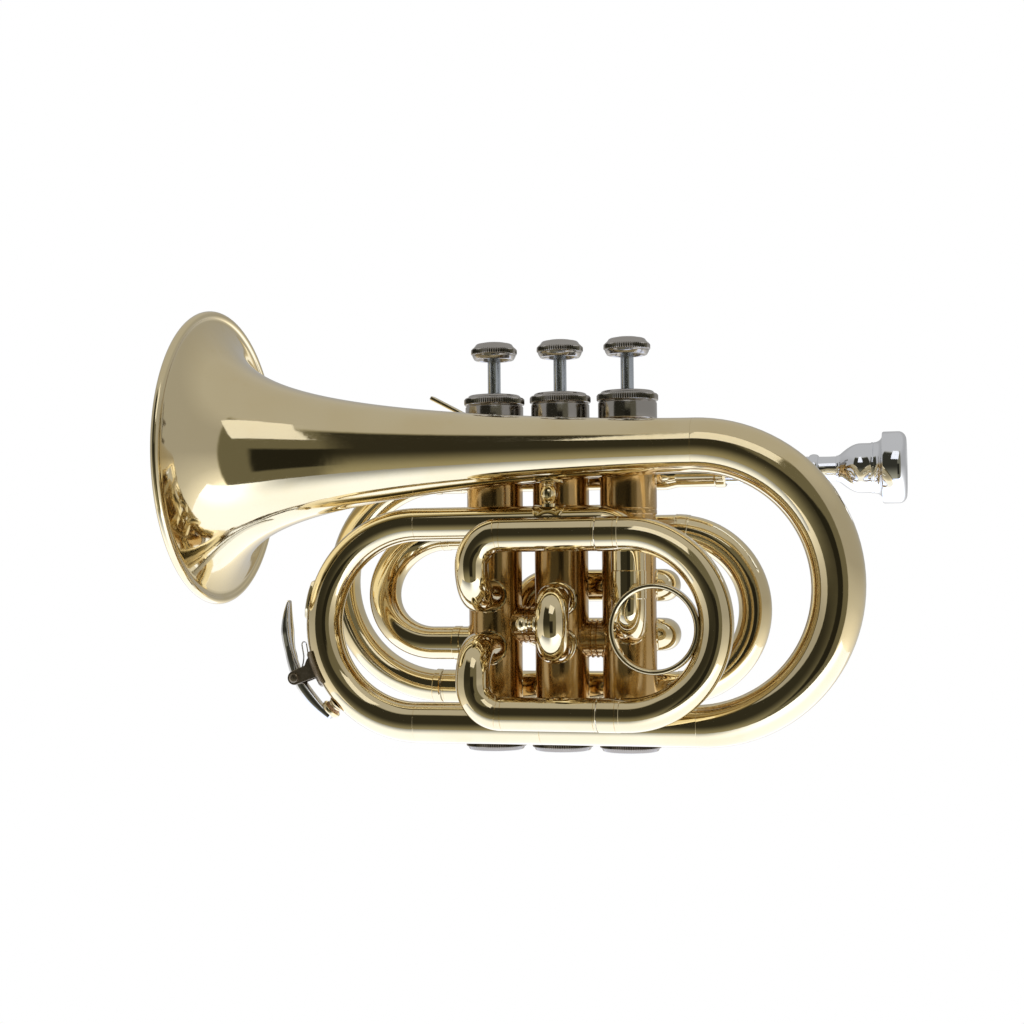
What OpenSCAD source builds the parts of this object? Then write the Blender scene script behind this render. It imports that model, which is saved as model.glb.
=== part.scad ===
// Three-valve pocket trumpet, held as for playing.
// X runs along the instrument towards the mouthpiece, Z up along the valves,
// and -Y is the player's left, the side of the bell and the third valve slide.
// The origin is on the second valve's axis, at the height of the hand.

/* [Valves] */
// Distance between neighbouring valve axes
valve_pitch = 26.2; // [24:0.1:32]
// How far a valve is pressed
valve_travel = 13; // [9:0.5:14]
// Outside diameter of a valve casing
casing_d = 20.5; // [18.5:0.1:22.5]
// Outside diameter of the sleeve around the top of a casing
sleeve_d = 21.6; // [20.8:0.1:23.6]
// Height of the lower edge of the sleeve
sleeve_low_z = 4.7; // [-2:0.1:10]
// Height of the lower end of a casing
casing_low_z = -79; // [-92:0.5:-76]
// Diameter of a piston
piston_d = 16.8; // [14:0.1:17.2]
// Radial clearance of a piston, a stem and a slide leg
running_gap = 0.05; // [0.03:0.01:0.09]
// Height of a casing's top above the shoulder that carries the valve guide
guide_depth = 30; // [28:0.5:34]
// Diameter of a valve stem
stem_d = 5; // [3.5:0.1:6]
// Radius of the passages through a piston
passage_r = 5; // [3.5:0.1:5.2]

/* [Caps and buttons] */
// Diameter of a top cap
top_cap_d = 23.4; // [22.8:0.1:25]
// Height of the upper face of a top cap
top_cap_z = 51.7; // [49:0.1:56]
// Height of a top cap
top_cap_h = 11; // [8:0.1:13]
// Diameter of a bottom cap
bottom_cap_d = 23.2; // [22.6:0.1:25]
// Height of a bottom cap
bottom_cap_h = 9.5; // [8:0.1:14]
// How far a bottom cap's face lies below the casing
bottom_cap_drop = 5.7; // [4:0.1:8]
// Diameter of a finger button
button_d = 17.8; // [13:0.1:21]
// Height of a finger button
button_h = 7.3; // [5:0.1:9]

/* [Main tubing] */
// Outside diameter of the cylindrical main tubing
tube_d = 12.6; // [11:0.1:13.6]
// Wall of the fixed tubing
tube_wall = 0.5; // [0.4:0.05:0.8]
// Outside diameter of the lower leg that leads to the bell bow
lower_leg_d = 15.4; // [13:0.1:17]
// Height of the lower leg's axis
lower_leg_z = -73.1; // [-84:0.1:-70]
// Height of the upper leg's axis
upper_leg_z = 1.5; // [-4:0.1:4]
// Distance of the front bow's centre from the second valve
front_bow_x = 51.5; // [44:0.1:62]
// Seam between the bell's lower leg and the front bow's leg
leg_seam_x = -3; // [-20:0.1:20]
// Turning radius of small elbows
elbow_r = 11; // [9:0.1:11.5]
// Height where the outlet tube enters the first valve
outlet_z = -37.3; // [-42:0.1:-34]
// Sideways offset of the outlet tube from the first valve
outlet_offset = 3.5; // [2:0.1:5]

/* [Bell] */
// Diameter over the bell's rolled rim
bell_rim_d = 113.4; // [95:0.1:136]
// Thickness of the rolled rim
rim_d = 3.2; // [2.4:0.1:4]
// Distance of the rim from the second valve
bell_reach = 132; // [112:0.1:160]
// Height of the bell's axis
bell_z = 28.5; // [27:0.1:34]
// Outside diameter of the bell's tail where its bow begins
bell_tail_d = 20; // [17:0.1:21]
// Distance of the bell bow's centre from the second valve
bell_bow_x = 54.8; // [50:0.1:66]
// Wall of the bell
bell_wall = 0.6; // [0.5:0.05:1]

/* [Mouthpiece] */
// Diameter of the mouthpiece rim
mouthpiece_d = 27; // [24:0.1:30]
// Overall length of the mouthpiece
mouthpiece_l = 87; // [80:0.5:96]
// Distance of the rim's face from the second valve
mouthpiece_x = 128.9; // [124:0.1:150]
// Inside diameter of the rim at the lips
mouthpiece_cup_d = 16.5; // [14:0.1:19]
// Depth of the cup
mouthpiece_cup_h = 11; // [8:0.1:13]
// Diameter of the shank at the receiver's mouth
shank_d = 9.7; // [9:0.1:10.2]
// Height of the leadpipe's axis
leadpipe_z = 21.5; // [18:0.1:27]
// Distance of the receiver's mouth from the second valve
receiver_x = 61.2; // [56:0.1:70]

/* [Slides] */
// Outside diameter of the valve slide tubing
slide_d = 12.4; // [11:0.1:13]
// Height of the main tuning slide's lower leg
tuning_low_z = -61.8; // [-66:0.1:-60]
// Distance of the main tuning bow's centre from the second valve
tuning_bow_x = 52.5; // [48:0.1:64]
// Centre of the rear inner bow
rear_bow_x = 41.4; // [38:0.1:46]
// Height of the inner tube's upper leg
inner_leg_z = -1.2; // [-6:0.1:0]
// Distance of the inner front bow's centre from the second valve
inner_bow_x = 50.7; // [48:0.1:56]
// Height where the inner tube enters the third valve
inlet_z = -43.9; // [-46:0.1:-41]
// Heights of the third slide's legs
third_leg_z = [-68.4, -3.3];
// Heights of the third slide's ports
third_port_z = [-45.3, -25.5];
// Centre of the third slide's bow
third_bow_x = 31.2; // [26:0.1:36]
// Where the third slide's outer tubes end
third_split_x = 20.7; // [16:0.1:22]
// Outside diameter of the third slide's finger ring
ring_d = 32; // [26:0.1:35]
// Heights of the second slide's legs
second_port_z = [-44.2, -27.2];
// Angle of the second slide to the side, towards the mouthpiece
second_slant = 7; // [3:0.5:9]
// Reach of the second slide's bow centre from the valve axis
second_reach = 29.5; // [26:0.1:34]
// Heights of the first slide's legs
first_leg_z = [-40.9, -22.1];
// Distance of the first slide's bow from the second valve
first_bow_x = 9.3; // [6:0.1:14]
// Angle at which the first slide leaves its valve
first_exit = 36; // [32:1:66]
// Height of the knuckle between the second and first valves
knuckle_12_z = -42.2; // [-44:0.1:-40]
// Height of the knuckle between the third and second valves
knuckle_23_z = -36.7; // [-38:0.1:-35]
// Diameter of a knuckle
knuckle_d = 13.6; // [12:0.1:14]

/* [Hidden] */
$fn = 64;
// Smallest gap between parts that must not touch
air = 0.3;
// Gap at a soldered seam between two lengths of one tube
seam = 0.05;
tube_r = tube_d / 2;
slide_r = slide_d / 2;
casing_r = casing_d / 2;
sleeve_r = sleeve_d / 2;
piston_r = piston_d / 2;
stem_r = stem_d / 2;
lower_leg_r = lower_leg_d / 2;
leg_r = slide_r - tube_wall - running_gap;
tuning_leg_r = tube_r - tube_wall - running_gap;
leg_wall = 0.45;
casing_bore_r = piston_r + running_gap;

// Flare of the bell
flare_start = 5.8;
flare_power = 0.414;
flare_close = 1.44;
bell_length = bell_reach - rim_d / 2 + bell_bow_x;
// Outside radius of the bell at a distance from the middle of its rolled rim
function bell_radius(d) = bell_tail_d / 2 + (bell_rim_d / 2 - rim_d / 2 - bell_tail_d / 2)
    * pow(flare_start / (d + flare_start), flare_power) * pow(1 - min(d / bell_length, 1), flare_close);

// Planes of the tubing, each just clear of what it passes
rear_y = sleeve_r + 0.9 + tube_r;
front_y = -(bottom_cap_d / 2 + 0.7 + lower_leg_r);
third_y = front_y - lower_leg_r - slide_r - 0.1;
bell_y = -(sleeve_r + air + bell_radius(bell_length - bell_bow_x - valve_pitch));

// Valve stations, first valve nearest the mouthpiece
VALVE_X = [valve_pitch, 0, -valve_pitch];
casing_top_z = top_cap_z - 5;
guide_z = casing_top_z - guide_depth;
cap_roof = 3;
cap_under_z = top_cap_z - cap_roof;
felt_h = 1.6;
stop_z = cap_under_z - felt_h;
barrel_roof = 2;
guide_t = 2;
guide_bore_r = casing_bore_r + 0.7;
barrel_r = piston_r - 1.4;
barrel_wall = 1.2;
barrel_low_z = guide_z - 4;
piston_low_z = casing_low_z + valve_travel + 4;
button_low_z = top_cap_z + valve_travel + 0.5;

// Ports of each valve as [angle, height]: inlet, outlet, slide low, slide high
outlet_angle = atan2(front_y, outlet_offset);
third_angle = -90;
second_angle = -90 + second_slant;
PORTS = [
    [[180, knuckle_12_z], [outlet_angle, outlet_z],
        [first_exit, first_leg_z[0]], [first_exit, first_leg_z[1]]],
    [[180, knuckle_23_z], [0, knuckle_12_z],
        [second_angle, second_port_z[0]], [second_angle, second_port_z[1]]],
    [[180, inlet_z], [0, knuckle_23_z],
        [third_angle, third_port_z[0]], [third_angle, third_port_z[1]]]
];
// Which slide port the inlet meets when a valve is down: 2 is the lower, 3 the upper
INLET_MEETS = [2, 3, 2];

// Bell bow and front bow
bell_bow_low = [bell_bow_x, front_y, lower_leg_z];
bell_bow_high = [bell_bow_x, bell_y, bell_z];
front_bow_r = (upper_leg_z - lower_leg_z) / 2;
front_bow_z = (upper_leg_z + lower_leg_z) / 2;
bow_sides = 24;
bow_steps = 20;

// Where a tube's stub at a casing ends and its bend or leg begins
stub_end = casing_r + 0.5;

// Slide engagement
third_pull = 22;
third_leg_l = third_pull + 10;
tuning_pull = 22;
tuning_leg_l = tuning_pull + 12;
first_pull = 13;
first_split_x = -first_bow_x + 10.5;
first_leg_l = first_pull + 6;
second_split = casing_r + 9;
collar_l = 8;
collar_t = 0.45;

third_bow_r = (third_leg_z[1] - third_leg_z[0]) / 2;
third_bow_z = (third_leg_z[1] + third_leg_z[0]) / 2;
ring_x = third_bow_x + third_bow_r - slide_r - ring_d / 2;
ring_z = third_bow_z - 1.7;
ring_wall = 1.6;
ring_band = 6;
second_bow_r = (second_port_z[1] - second_port_z[0]) / 2;
first_bow_r = (first_leg_z[1] - first_leg_z[0]) / 2;
tuning_bow_r = (leadpipe_z - tuning_low_z) / 2;
rear_bow_r = (inner_leg_z - tuning_low_z) / 2;

// Mouthpiece profile
rim_h = 10;
receiver_r = 7.3;
receiver_l = 24;
shank_in = receiver_x - (mouthpiece_x - mouthpiece_l);
shank_taper = 0.025;

BRASS = [0.83, 0.68, 0.32];
NICKEL = [0.72, 0.71, 0.68];
SILVER = [0.82, 0.84, 0.86];
STEEL = [0.6, 0.6, 0.62];
FELT = [0.2, 0.35, 0.2];
CORK = [0.45, 0.3, 0.18];

// ---- Helpers ----

function unit(v) = v / norm(v);
function polar(angle, r, z) = [r * cos(angle), r * sin(angle), z];
function across(d) = abs(d[2]) < 0.9 ? unit(cross([0, 0, 1], d)) : unit(cross([1, 0, 0], d));
function turn(a, b) = acos(max(-1, min(1, a * b)));
function directions(pts) = [for (i = [0 : len(pts) - 2]) unit(pts[i + 1] - pts[i])];
// How much of each straight a corner's bend takes
function setback(dirs, i, bend) =
    (i == 0 || i == len(dirs)) ? 0 : bend * tan(turn(dirs[i - 1], dirs[i]) / 2);

// Puts children whose own axes are x, y, z at point p
module place(x, y, z, p) {
    multmatrix([
        [x[0], y[0], z[0], p[0]],
        [x[1], y[1], z[1], p[1]],
        [x[2], y[2], z[2], p[2]],
        [0, 0, 0, 1]
    ]) children();
}

// Puts children's Z along the line from a to b
module along(a, b) {
    d = unit(b - a);
    s = across(d);
    place(s, cross(d, s), d, a) children();
}

module ring_2d(r, bore) {
    difference() {
        circle(r);
        if (bore > 0) circle(bore);
    }
}

module straight(a, b, r, bore = 0) {
    along(a, b) linear_extrude(norm(b - a)) ring_2d(r, bore);
}

// Bend of centreline radius bend about a corner, from direction d0 to d1
module bend_at(corner, d0, d1, bend, r, bore = 0) {
    angle = turn(d0, d1);
    inward = unit(d1 - d0 * (d0 * d1));
    start = corner - d0 * bend * tan(angle / 2);
    place(-inward, d0, cross(d0, inward), start + inward * bend)
        rotate_extrude(angle = angle) translate([bend, 0]) ring_2d(r, bore);
}

// Tube through corner points, every corner turned with the same bend radius
module pipe(pts, bend, r, bore = 0) {
    dirs = directions(pts);
    for (i = [0 : len(dirs) - 1]) {
        a = pts[i] + dirs[i] * setback(dirs, i, bend);
        b = pts[i + 1] - dirs[i] * setback(dirs, i + 1, bend);
        if ((b - a) * dirs[i] > 0.01) straight(a, b, r, bore);
        if (i > 0) bend_at(pts[i], dirs[i - 1], dirs[i], bend, r, bore);
    }
}

// Room that the casing of valve n takes from a tube soldered to it
module casing_room(n) {
    translate([VALVE_X[n], 0, casing_low_z]) cylinder(r = casing_r, h = casing_top_z - casing_low_z);
}

// Straight tube from a casing's wall out to a distance from the valve's axis, stopping at a soldered seam
module stub(n, angle, z, reach, r, bore) {
    root = casing_r - 4;
    translate([VALVE_X[n], 0, z]) rotate([0, 0, angle]) difference() {
        rotate([0, 90, 0]) translate([0, 0, root]) linear_extrude(reach - seam - root) ring_2d(r, bore);
        cylinder(r = casing_r, h = 4 * r, center = true);
    }
}

// Tapered tube swept round an arc: centre, the arc's start and middle directions,
// radius, and outside radii at its start and end
function taper(f, r0, r1, shape) = r1 + (r0 - r1) * pow(1 - f, shape);
function arc_ring(c, u, v, bend, angle, r) = [
    for (j = [0 : bow_sides - 1])
        let (a = 360 * j / bow_sides, out = u * cos(angle) + v * sin(angle))
            c + out * (bend + r * cos(a)) + cross(u, v) * r * sin(a)
];
module tapered_bow(c, u, v, bend, r0, r1, shape, wall) {
    n = bow_sides;
    m = bow_steps;
    radii = [for (i = [0 : m]) taper(i / m, r0, r1, shape)];
    outer = [for (i = [0 : m]) each arc_ring(c, u, v, bend, 180 * i / m, radii[i])];
    inner = [for (i = [0 : m]) each arc_ring(c, u, v, bend, 180 * i / m, radii[i] - wall)];
    q = n * (m + 1);
    skin = [for (i = [0 : m - 1], j = [0 : n - 1])
        let (k = (j + 1) % n) [i * n + j, i * n + k, (i + 1) * n + k, (i + 1) * n + j]];
    lining = [for (f = skin) [q + f[3], q + f[2], q + f[1], q + f[0]]];
    mouth = [for (j = [0 : n - 1]) let (k = (j + 1) % n) [j, q + j, q + k, k]];
    end = [for (j = [0 : n - 1]) let (k = (j + 1) % n, e = m * n) [e + k, q + e + k, q + e + j, e + j]];
    polyhedron(concat(outer, inner), concat(skin, lining, mouth, end), convexity = 6);
}

// Round wire wound as an open coil about Z, from z = 0 to z = length
coil_sides = 6;
function coil_point(t, r, turns, length) = [r * cos(360 * turns * t), r * sin(360 * turns * t), length * t];
module coil(r, wire, turns, length, per_turn = 12) {
    steps = turns * per_turn;
    n = coil_sides;
    body = length - 2 * wire;
    pts = [for (i = [0 : steps], j = [0 : n - 1])
        let (p = coil_point(i / steps, r, turns, body), out = unit([p[0], p[1], 0]), a = 360 * j / n)
            p + out * wire * cos(a) + [0, 0, wire + wire * sin(a)]];
    skin = [for (i = [0 : steps - 1], j = [0 : n - 1])
        let (k = (j + 1) % n) [(i + 1) * n + j, (i + 1) * n + k, i * n + k, i * n + j]];
    first = [[for (j = [0 : n - 1]) j]];
    last = [[for (j = [0 : n - 1]) steps * n + n - 1 - j]];
    polyhedron(pts, concat(skin, first, last), convexity = 10);
}

// Flat strip of thickness t that follows points in a plane
function strip_normal(p, i) =
    let (d = unit(p[min(i + 1, len(p) - 1)] - p[max(i - 1, 0)])) [-d[1], d[0]];
function strip(p, t) = concat(
    [for (i = [0 : len(p) - 1]) p[i] + strip_normal(p, i) * t / 2],
    [for (i = [len(p) - 1 : -1 : 0]) p[i] - strip_normal(p, i) * t / 2]
);
function arc_points(c, r, a0, a1, steps) =
    [for (i = [0 : steps]) let (a = a0 + (a1 - a0) * i / steps) c + r * [cos(a), sin(a)]];
// Extrudes an outline of X and Z across the Y direction, centred on y
module across_y(y, width) {
    translate([0, y + width / 2, 0]) rotate([90, 0, 0]) linear_extrude(width) children();
}

// ---- Bell section ----

bell_steps = 40;
function bell_station(i) = bell_length * pow(i / bell_steps, 2.2);
// Radial thickness of the wall, which grows where the flare leans outwards
function bell_lining(i) = let (d = bell_station(i), slope = bell_radius(d) - bell_radius(d + 1))
    bell_wall * norm([1, slope]);

module bell() {
    color(BRASS) translate([-bell_reach + rim_d / 2, bell_y, bell_z]) rotate([0, 90, 0]) rotate_extrude()
        polygon(concat(
            [for (i = [0 : bell_steps]) let (d = bell_station(i)) [bell_radius(d), d]],
            [for (i = [bell_steps : -1 : 0]) let (d = bell_station(i)) [bell_radius(d) - bell_lining(i), d]]
        ));
}

// Wire in the bell's rolled edge
module bell_rim_ring() {
    color(BRASS) translate([-bell_reach + rim_d / 2, bell_y, bell_z]) rotate([0, 90, 0]) rotate_extrude()
        translate([bell_rim_d / 2 - rim_d / 2, 0]) circle(rim_d / 2);
}

module bell_bow() {
    middle = (bell_bow_low + bell_bow_high) / 2;
    down = unit(bell_bow_low - bell_bow_high);
    color(BRASS) tapered_bow(middle, down, [1, 0, 0], norm(bell_bow_high - bell_bow_low) / 2,
        lower_leg_r, bell_tail_d / 2, 2.6, bell_wall);
}

module lower_leg() {
    joint = [leg_seam_x, front_y, lower_leg_z];
    bore = lower_leg_r - bell_wall;
    color(BRASS) {
        straight(joint + [seam, 0, 0], bell_bow_low, lower_leg_r, bore);
        straight([-front_bow_x, front_y, lower_leg_z], joint, lower_leg_r, bore);
    }
}

module front_bow() {
    color(BRASS) tapered_bow([-front_bow_x, front_y, front_bow_z], [0, 0, -1], [-1, 0, 0], front_bow_r,
        lower_leg_r, tube_r, 1, bell_wall);
}

outlet_x = VALVE_X[0] + outlet_offset;
outlet_bend_r = 9;
outlet_split_z = -16.5;
module upper_leg() {
    color(BRASS) pipe([[-front_bow_x, front_y, upper_leg_z], [outlet_x, front_y, upper_leg_z],
        [outlet_x, front_y, outlet_split_z]], elbow_r, tube_r, tube_r - tube_wall);
}

module outlet_elbow() {
    reach = norm([outlet_offset, front_y]);
    bore = tube_r - tube_wall;
    color(BRASS) {
        translate([VALVE_X[0], 0, 0]) rotate([0, 0, outlet_angle])
            pipe([[reach, 0, outlet_split_z - seam], [reach, 0, outlet_z], [stub_end, 0, outlet_z]],
                outlet_bend_r, tube_r, bore);
        stub(0, outlet_angle, outlet_z, stub_end, tube_r, bore);
    }
}

// Thin crescent that guards the outside of the front bow
guard_t = 0.8;
// How far the guard runs above and below the bow's middle, in degrees
guard_above = 32;
guard_below = 12;
module bow_guard() {
    guard_r = lower_leg_r + 0.1;
    color(BRASS) translate([-front_bow_x, front_y, front_bow_z]) rotate([-90, 0, 0])
        rotate([0, 0, 180 - guard_below]) rotate_extrude(angle = guard_above + guard_below) intersection() {
            translate([front_bow_r - 0.15, 0]) ring_2d(guard_r + guard_t, guard_r);
            translate([front_bow_r + guard_r * 0.55, -guard_r]) square([guard_r, 2 * guard_r]);
        }
}

// Turned pillar between the bell and the upper leg, with a saddle at each end
module bell_brace() {
    x = 0.5;
    y = (front_y + bell_y) / 2;
    flange_r = 6.2;
    waist_r = 2.3;
    belly_r = 3.4;
    low = upper_leg_z + tube_r - 2.4;
    below = bell_length - bell_bow_x + x;
    high = bell_z - bell_radius(below) + 2.4;
    mid = (low + high) / 2;
    color(BRASS) difference() {
        translate([x, y, 0]) rotate_extrude() polygon(concat(
            [[0, low], [flange_r, low], [flange_r, low + 2.2], [waist_r + 1, low + 3.6]],
            [for (i = [0 : 8]) let (f = i / 8) [waist_r + (belly_r - waist_r) * sin(180 * f),
                low + 4.4 + (high - low - 8.8) * f]],
            [[waist_r + 1, high - 3.6], [flange_r, high - 2.2], [flange_r, high], [0, high]]
        ));
        straight([x - 20, front_y, upper_leg_z], [x + 20, front_y, upper_leg_z], tube_r);
        translate([x, bell_y, bell_z]) rotate([0, 90, 0])
            cylinder(r1 = bell_radius(below - 20), r2 = bell_radius(below + 20), h = 40, center = true);
    }
}

// ---- Valves ----

module port(n, i, r, reach) {
    p = PORTS[n][i];
    axis = [VALVE_X[n], 0, 0];
    straight(axis + polar(p[0], 0, p[1]), axis + polar(p[0], reach, p[1]), r);
}

module valve_casing(n) {
    color(BRASS) difference() {
        translate([VALVE_X[n], 0, 0]) union() {
            translate([0, 0, casing_low_z]) cylinder(r = casing_r, h = casing_top_z - casing_low_z);
            translate([0, 0, sleeve_low_z])
                cylinder(r = sleeve_r, h = top_cap_z - top_cap_h - air - sleeve_low_z);
        }
        translate([VALVE_X[n], 0, casing_low_z - 1]) cylinder(r = casing_bore_r, h = 200);
        translate([VALVE_X[n], 0, guide_z]) cylinder(r = guide_bore_r, h = 100);
        for (i = [0 : 3]) port(n, i, passage_r, casing_r + 4);
    }
}

module top_cap(n) {
    skirt_z = top_cap_z - top_cap_h;
    bead = 3.2;
    color(NICKEL) translate([VALVE_X[n], 0, 0]) difference() {
        union() {
            translate([0, 0, skirt_z]) cylinder(r = top_cap_d / 2 - 0.5, h = top_cap_h - bead);
            translate([0, 0, top_cap_z - bead - 0.7]) cylinder(r = top_cap_d / 2, h = bead);
            translate([0, 0, top_cap_z - 1]) cylinder(r = top_cap_d / 2 - 1.6, h = 1);
        }
        translate([0, 0, skirt_z - 1]) cylinder(r = casing_r, h = casing_top_z - skirt_z + 1);
        translate([0, 0, skirt_z]) cylinder(r = guide_bore_r, h = cap_under_z - skirt_z);
        translate([0, 0, skirt_z]) cylinder(r = stem_r + running_gap, h = top_cap_h + 1);
    }
}

module bottom_cap(n) {
    low = casing_low_z - bottom_cap_drop;
    color(NICKEL) translate([VALVE_X[n], 0, 0]) difference() {
        union() {
            translate([0, 0, low]) cylinder(r = bottom_cap_d / 2 - 1.4, h = 1.2);
            translate([0, 0, low + 1.2]) cylinder(r = bottom_cap_d / 2, h = bottom_cap_h - 1.2 - 3);
            translate([0, 0, low + bottom_cap_h - 3]) cylinder(r = bottom_cap_d / 2 - 0.6, h = 3);
        }
        translate([0, 0, casing_low_z]) cylinder(r = casing_r, h = bottom_cap_h);
        translate([0, 0, low + 2]) cylinder(r = casing_bore_r, h = bottom_cap_h);
        translate([0, 0, low - 1]) cylinder(r = 2.5, h = 5);
    }
}

// Guide bars that lie across each casing through its piston's slotted barrel
module valve_guides() {
    color(BRASS) for (x = VALVE_X) translate([x, 0, guide_z]) intersection() {
        cylinder(r = guide_bore_r - 0.02, h = guide_t);
        translate([-50, -2, 0]) cube([100, 4, guide_t]);
    }
}

module cap_felts() {
    color(FELT) for (x = VALVE_X) translate([x, 0, stop_z]) linear_extrude(felt_h)
        ring_2d(barrel_r, stem_r + 0.6);
}

module valve_knuckles() {
    for (n = [0, 1]) {
        z = n == 0 ? knuckle_12_z : knuckle_23_z;
        color(BRASS) difference() {
            straight([VALVE_X[n + 1], 0, z], [VALVE_X[n], 0, z], knuckle_d / 2, passage_r);
            casing_room(n);
            casing_room(n + 1);
        }
    }
}

// Passage across a piston between two ports, as they lie at a given lift
module passage(from, to, lift) {
    a = polar(from[0], piston_r, from[1] + lift);
    b = polar(to[0], piston_r, to[1] + lift);
    d = unit(b - a);
    straight(a - d * 6, b + d * 6, passage_r);
}

module piston(n) {
    ports = PORTS[n];
    meets = INLET_MEETS[n];
    barrel_slot_z = guide_z - air;
    spring_seat_z = guide_z - 1;
    color(NICKEL) translate([VALVE_X[n], 0, 0]) difference() {
        union() {
            translate([0, 0, piston_low_z]) cylinder(r = piston_r, h = barrel_low_z - piston_low_z);
            translate([0, 0, barrel_low_z]) cylinder(r = barrel_r, h = stop_z - barrel_low_z);
        }
        passage(ports[0], ports[1], 0);
        passage(ports[0], ports[meets], valve_travel);
        passage(ports[5 - meets], ports[1], valve_travel);
        translate([0, 0, spring_seat_z])
            cylinder(r = barrel_r - barrel_wall, h = stop_z - barrel_roof - spring_seat_z);
        translate([-barrel_r - 1, -2.2, barrel_slot_z])
            cube([2 * barrel_r + 2, 4.4, guide_t + valve_travel + 2 * air]);
        translate([0, 0, stop_z - barrel_roof - 1]) cylinder(r = stem_r - 0.8, h = 10);
        translate([0, 0, piston_low_z - 1]) cylinder(r = piston_r - 1.4, h = 9);
    }
}

module valve_stem(n) {
    color(NICKEL) translate([VALVE_X[n], 0, 0]) {
        translate([0, 0, stop_z - barrel_roof - 1]) cylinder(r = stem_r - 0.8, h = barrel_roof + 1);
        translate([0, 0, stop_z]) cylinder(r = stem_r, h = button_low_z - stop_z);
        translate([0, 0, button_low_z]) cylinder(r = stem_r - 0.8, h = button_h - 3);
    }
}

module finger_button(n) {
    r = button_d / 2;
    color(NICKEL) translate([VALVE_X[n], 0, button_low_z]) difference() {
        rotate_extrude() polygon([
            [0, 0], [stem_r + 1.2, 0], [stem_r + 1.2, 1.4], [r - 2.4, 2.6], [r - 2.4, 3.1],
            [r - 0.5, 3.1], [r, 3.6], [r, button_h - 1.2], [r - 0.6, button_h - 0.5],
            [r - 2, button_h - 0.1], [0, button_h]
        ]);
        translate([0, 0, -1]) cylinder(r = stem_r - 0.8, h = button_h - 2);
    }
}

module valve_spring(n) {
    low = guide_z + guide_t;
    color(STEEL) translate([VALVE_X[n], 0, low])
        coil((barrel_r - barrel_wall + stem_r) / 2, 0.45, 8, stop_z - barrel_roof - low);
}

// ---- Leadpipe side ----

module leadpipe() {
    end = receiver_x - receiver_l;
    color(BRASS) straight([-tuning_bow_x, rear_y, leadpipe_z], [end, rear_y, leadpipe_z],
        tube_r, tube_r - tube_wall);
}

module mouthpiece_receiver() {
    x0 = receiver_x - receiver_l - 6;
    neck_r = tube_r + collar_t;
    mouth_r = shank_d / 2 + 0.03;
    color(BRASS) translate([x0, rear_y, leadpipe_z]) rotate([0, 90, 0]) difference() {
        rotate_extrude() polygon([
            [0, 0], [neck_r, 0], [neck_r, 7], [receiver_r - 0.6, 10], [receiver_r - 0.9, 26],
            [receiver_r, 27], [receiver_r, receiver_l + 5], [receiver_r - 0.6, receiver_l + 6],
            [0, receiver_l + 6]
        ]);
        translate([0, 0, -1]) cylinder(r = tube_r, h = 7);
        translate([0, 0, 6])
            cylinder(r1 = mouth_r - shank_taper * receiver_l, r2 = mouth_r, h = receiver_l);
        translate([0, 0, 6 + receiver_l]) cylinder(r = mouth_r, h = 1);
        translate([0, 0, 5]) cylinder(r = 3.9, h = 2);
    }
}

// Outline from the shank's small end to the rim
module mouthpiece() {
    l = mouthpiece_l;
    rim_r = mouthpiece_d / 2;
    cup_r = mouthpiece_cup_d / 2;
    throat_r = 1.9;
    tip_r = shank_d / 2 - shank_taper * shank_in;
    neck_r = 5;
    body_r = 9.2;
    waist_r = neck_r - 0.6;
    cup_low = l - 24.5;
    flare_low = cup_low + 7;
    outline = concat(
        [[tip_r, 0], [shank_d / 2, shank_in], [neck_r, shank_in + 6], [neck_r - 0.3, l - 40]],
        arc_points([neck_r - 0.2, l - 37.5], 2.1, -60, 60, 8),
        [[waist_r, l - 34]],
        [for (i = [0 : 8]) let (a = 90 * i / 8)
            [waist_r + (body_r - waist_r) * (1 - cos(a)), l - 33 + 9 * sin(a)]],
        [[body_r, cup_low + 2], [body_r, flare_low]],
        [for (i = [1 : 6]) let (a = 90 * i / 6)
            [body_r + (rim_r - body_r - 0.4) * (1 - cos(a)), flare_low + (l - rim_h - flare_low) * sin(a)]],
        [[rim_r, l - rim_h + 0.5], [rim_r, l - 1]],
        arc_points([rim_r - 1, l - 1], 1, 0, 90, 5),
        arc_points([cup_r + 1.6, l - 1.6], 1.6, 90, 180, 5),
        [for (i = [1 : 8]) let (a = 90 * i / 8)
            [throat_r + (cup_r - throat_r) * cos(a), l - 2 - (mouthpiece_cup_h - 2) * sin(a)]],
        [[throat_r, l - mouthpiece_cup_h - 8], [tip_r - 0.8, 0]]
    );
    color(SILVER) translate([mouthpiece_x - l, rear_y, leadpipe_z]) rotate([0, 90, 0])
        rotate_extrude() polygon(outline);
}

module tuning_slide_bow() {
    ends = -tuning_bow_x - air;
    color(BRASS) {
        difference() {
            union() {
                pipe([[ends, rear_y, leadpipe_z], [ends - tuning_bow_r, rear_y, leadpipe_z],
                    [ends - tuning_bow_r, rear_y, tuning_low_z], [ends, rear_y, tuning_low_z]],
                    tuning_bow_r, tube_r);
                for (z = [leadpipe_z, tuning_low_z])
                    straight([ends - 1.5, rear_y, z], [ends, rear_y, z], tube_r + collar_t);
            }
            pipe([[ends + 1, rear_y, leadpipe_z], [ends - tuning_bow_r, rear_y, leadpipe_z],
                [ends - tuning_bow_r, rear_y, tuning_low_z], [ends + 1, rear_y, tuning_low_z]],
                tuning_bow_r, tuning_leg_r - leg_wall);
        }
    }
}

module tuning_slide_legs() {
    a = -tuning_bow_x - air;
    color(NICKEL) for (z = [leadpipe_z, tuning_low_z])
        straight([a, rear_y, z], [a + tuning_leg_l, rear_y, z], tuning_leg_r, tuning_leg_r - leg_wall);
}

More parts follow.
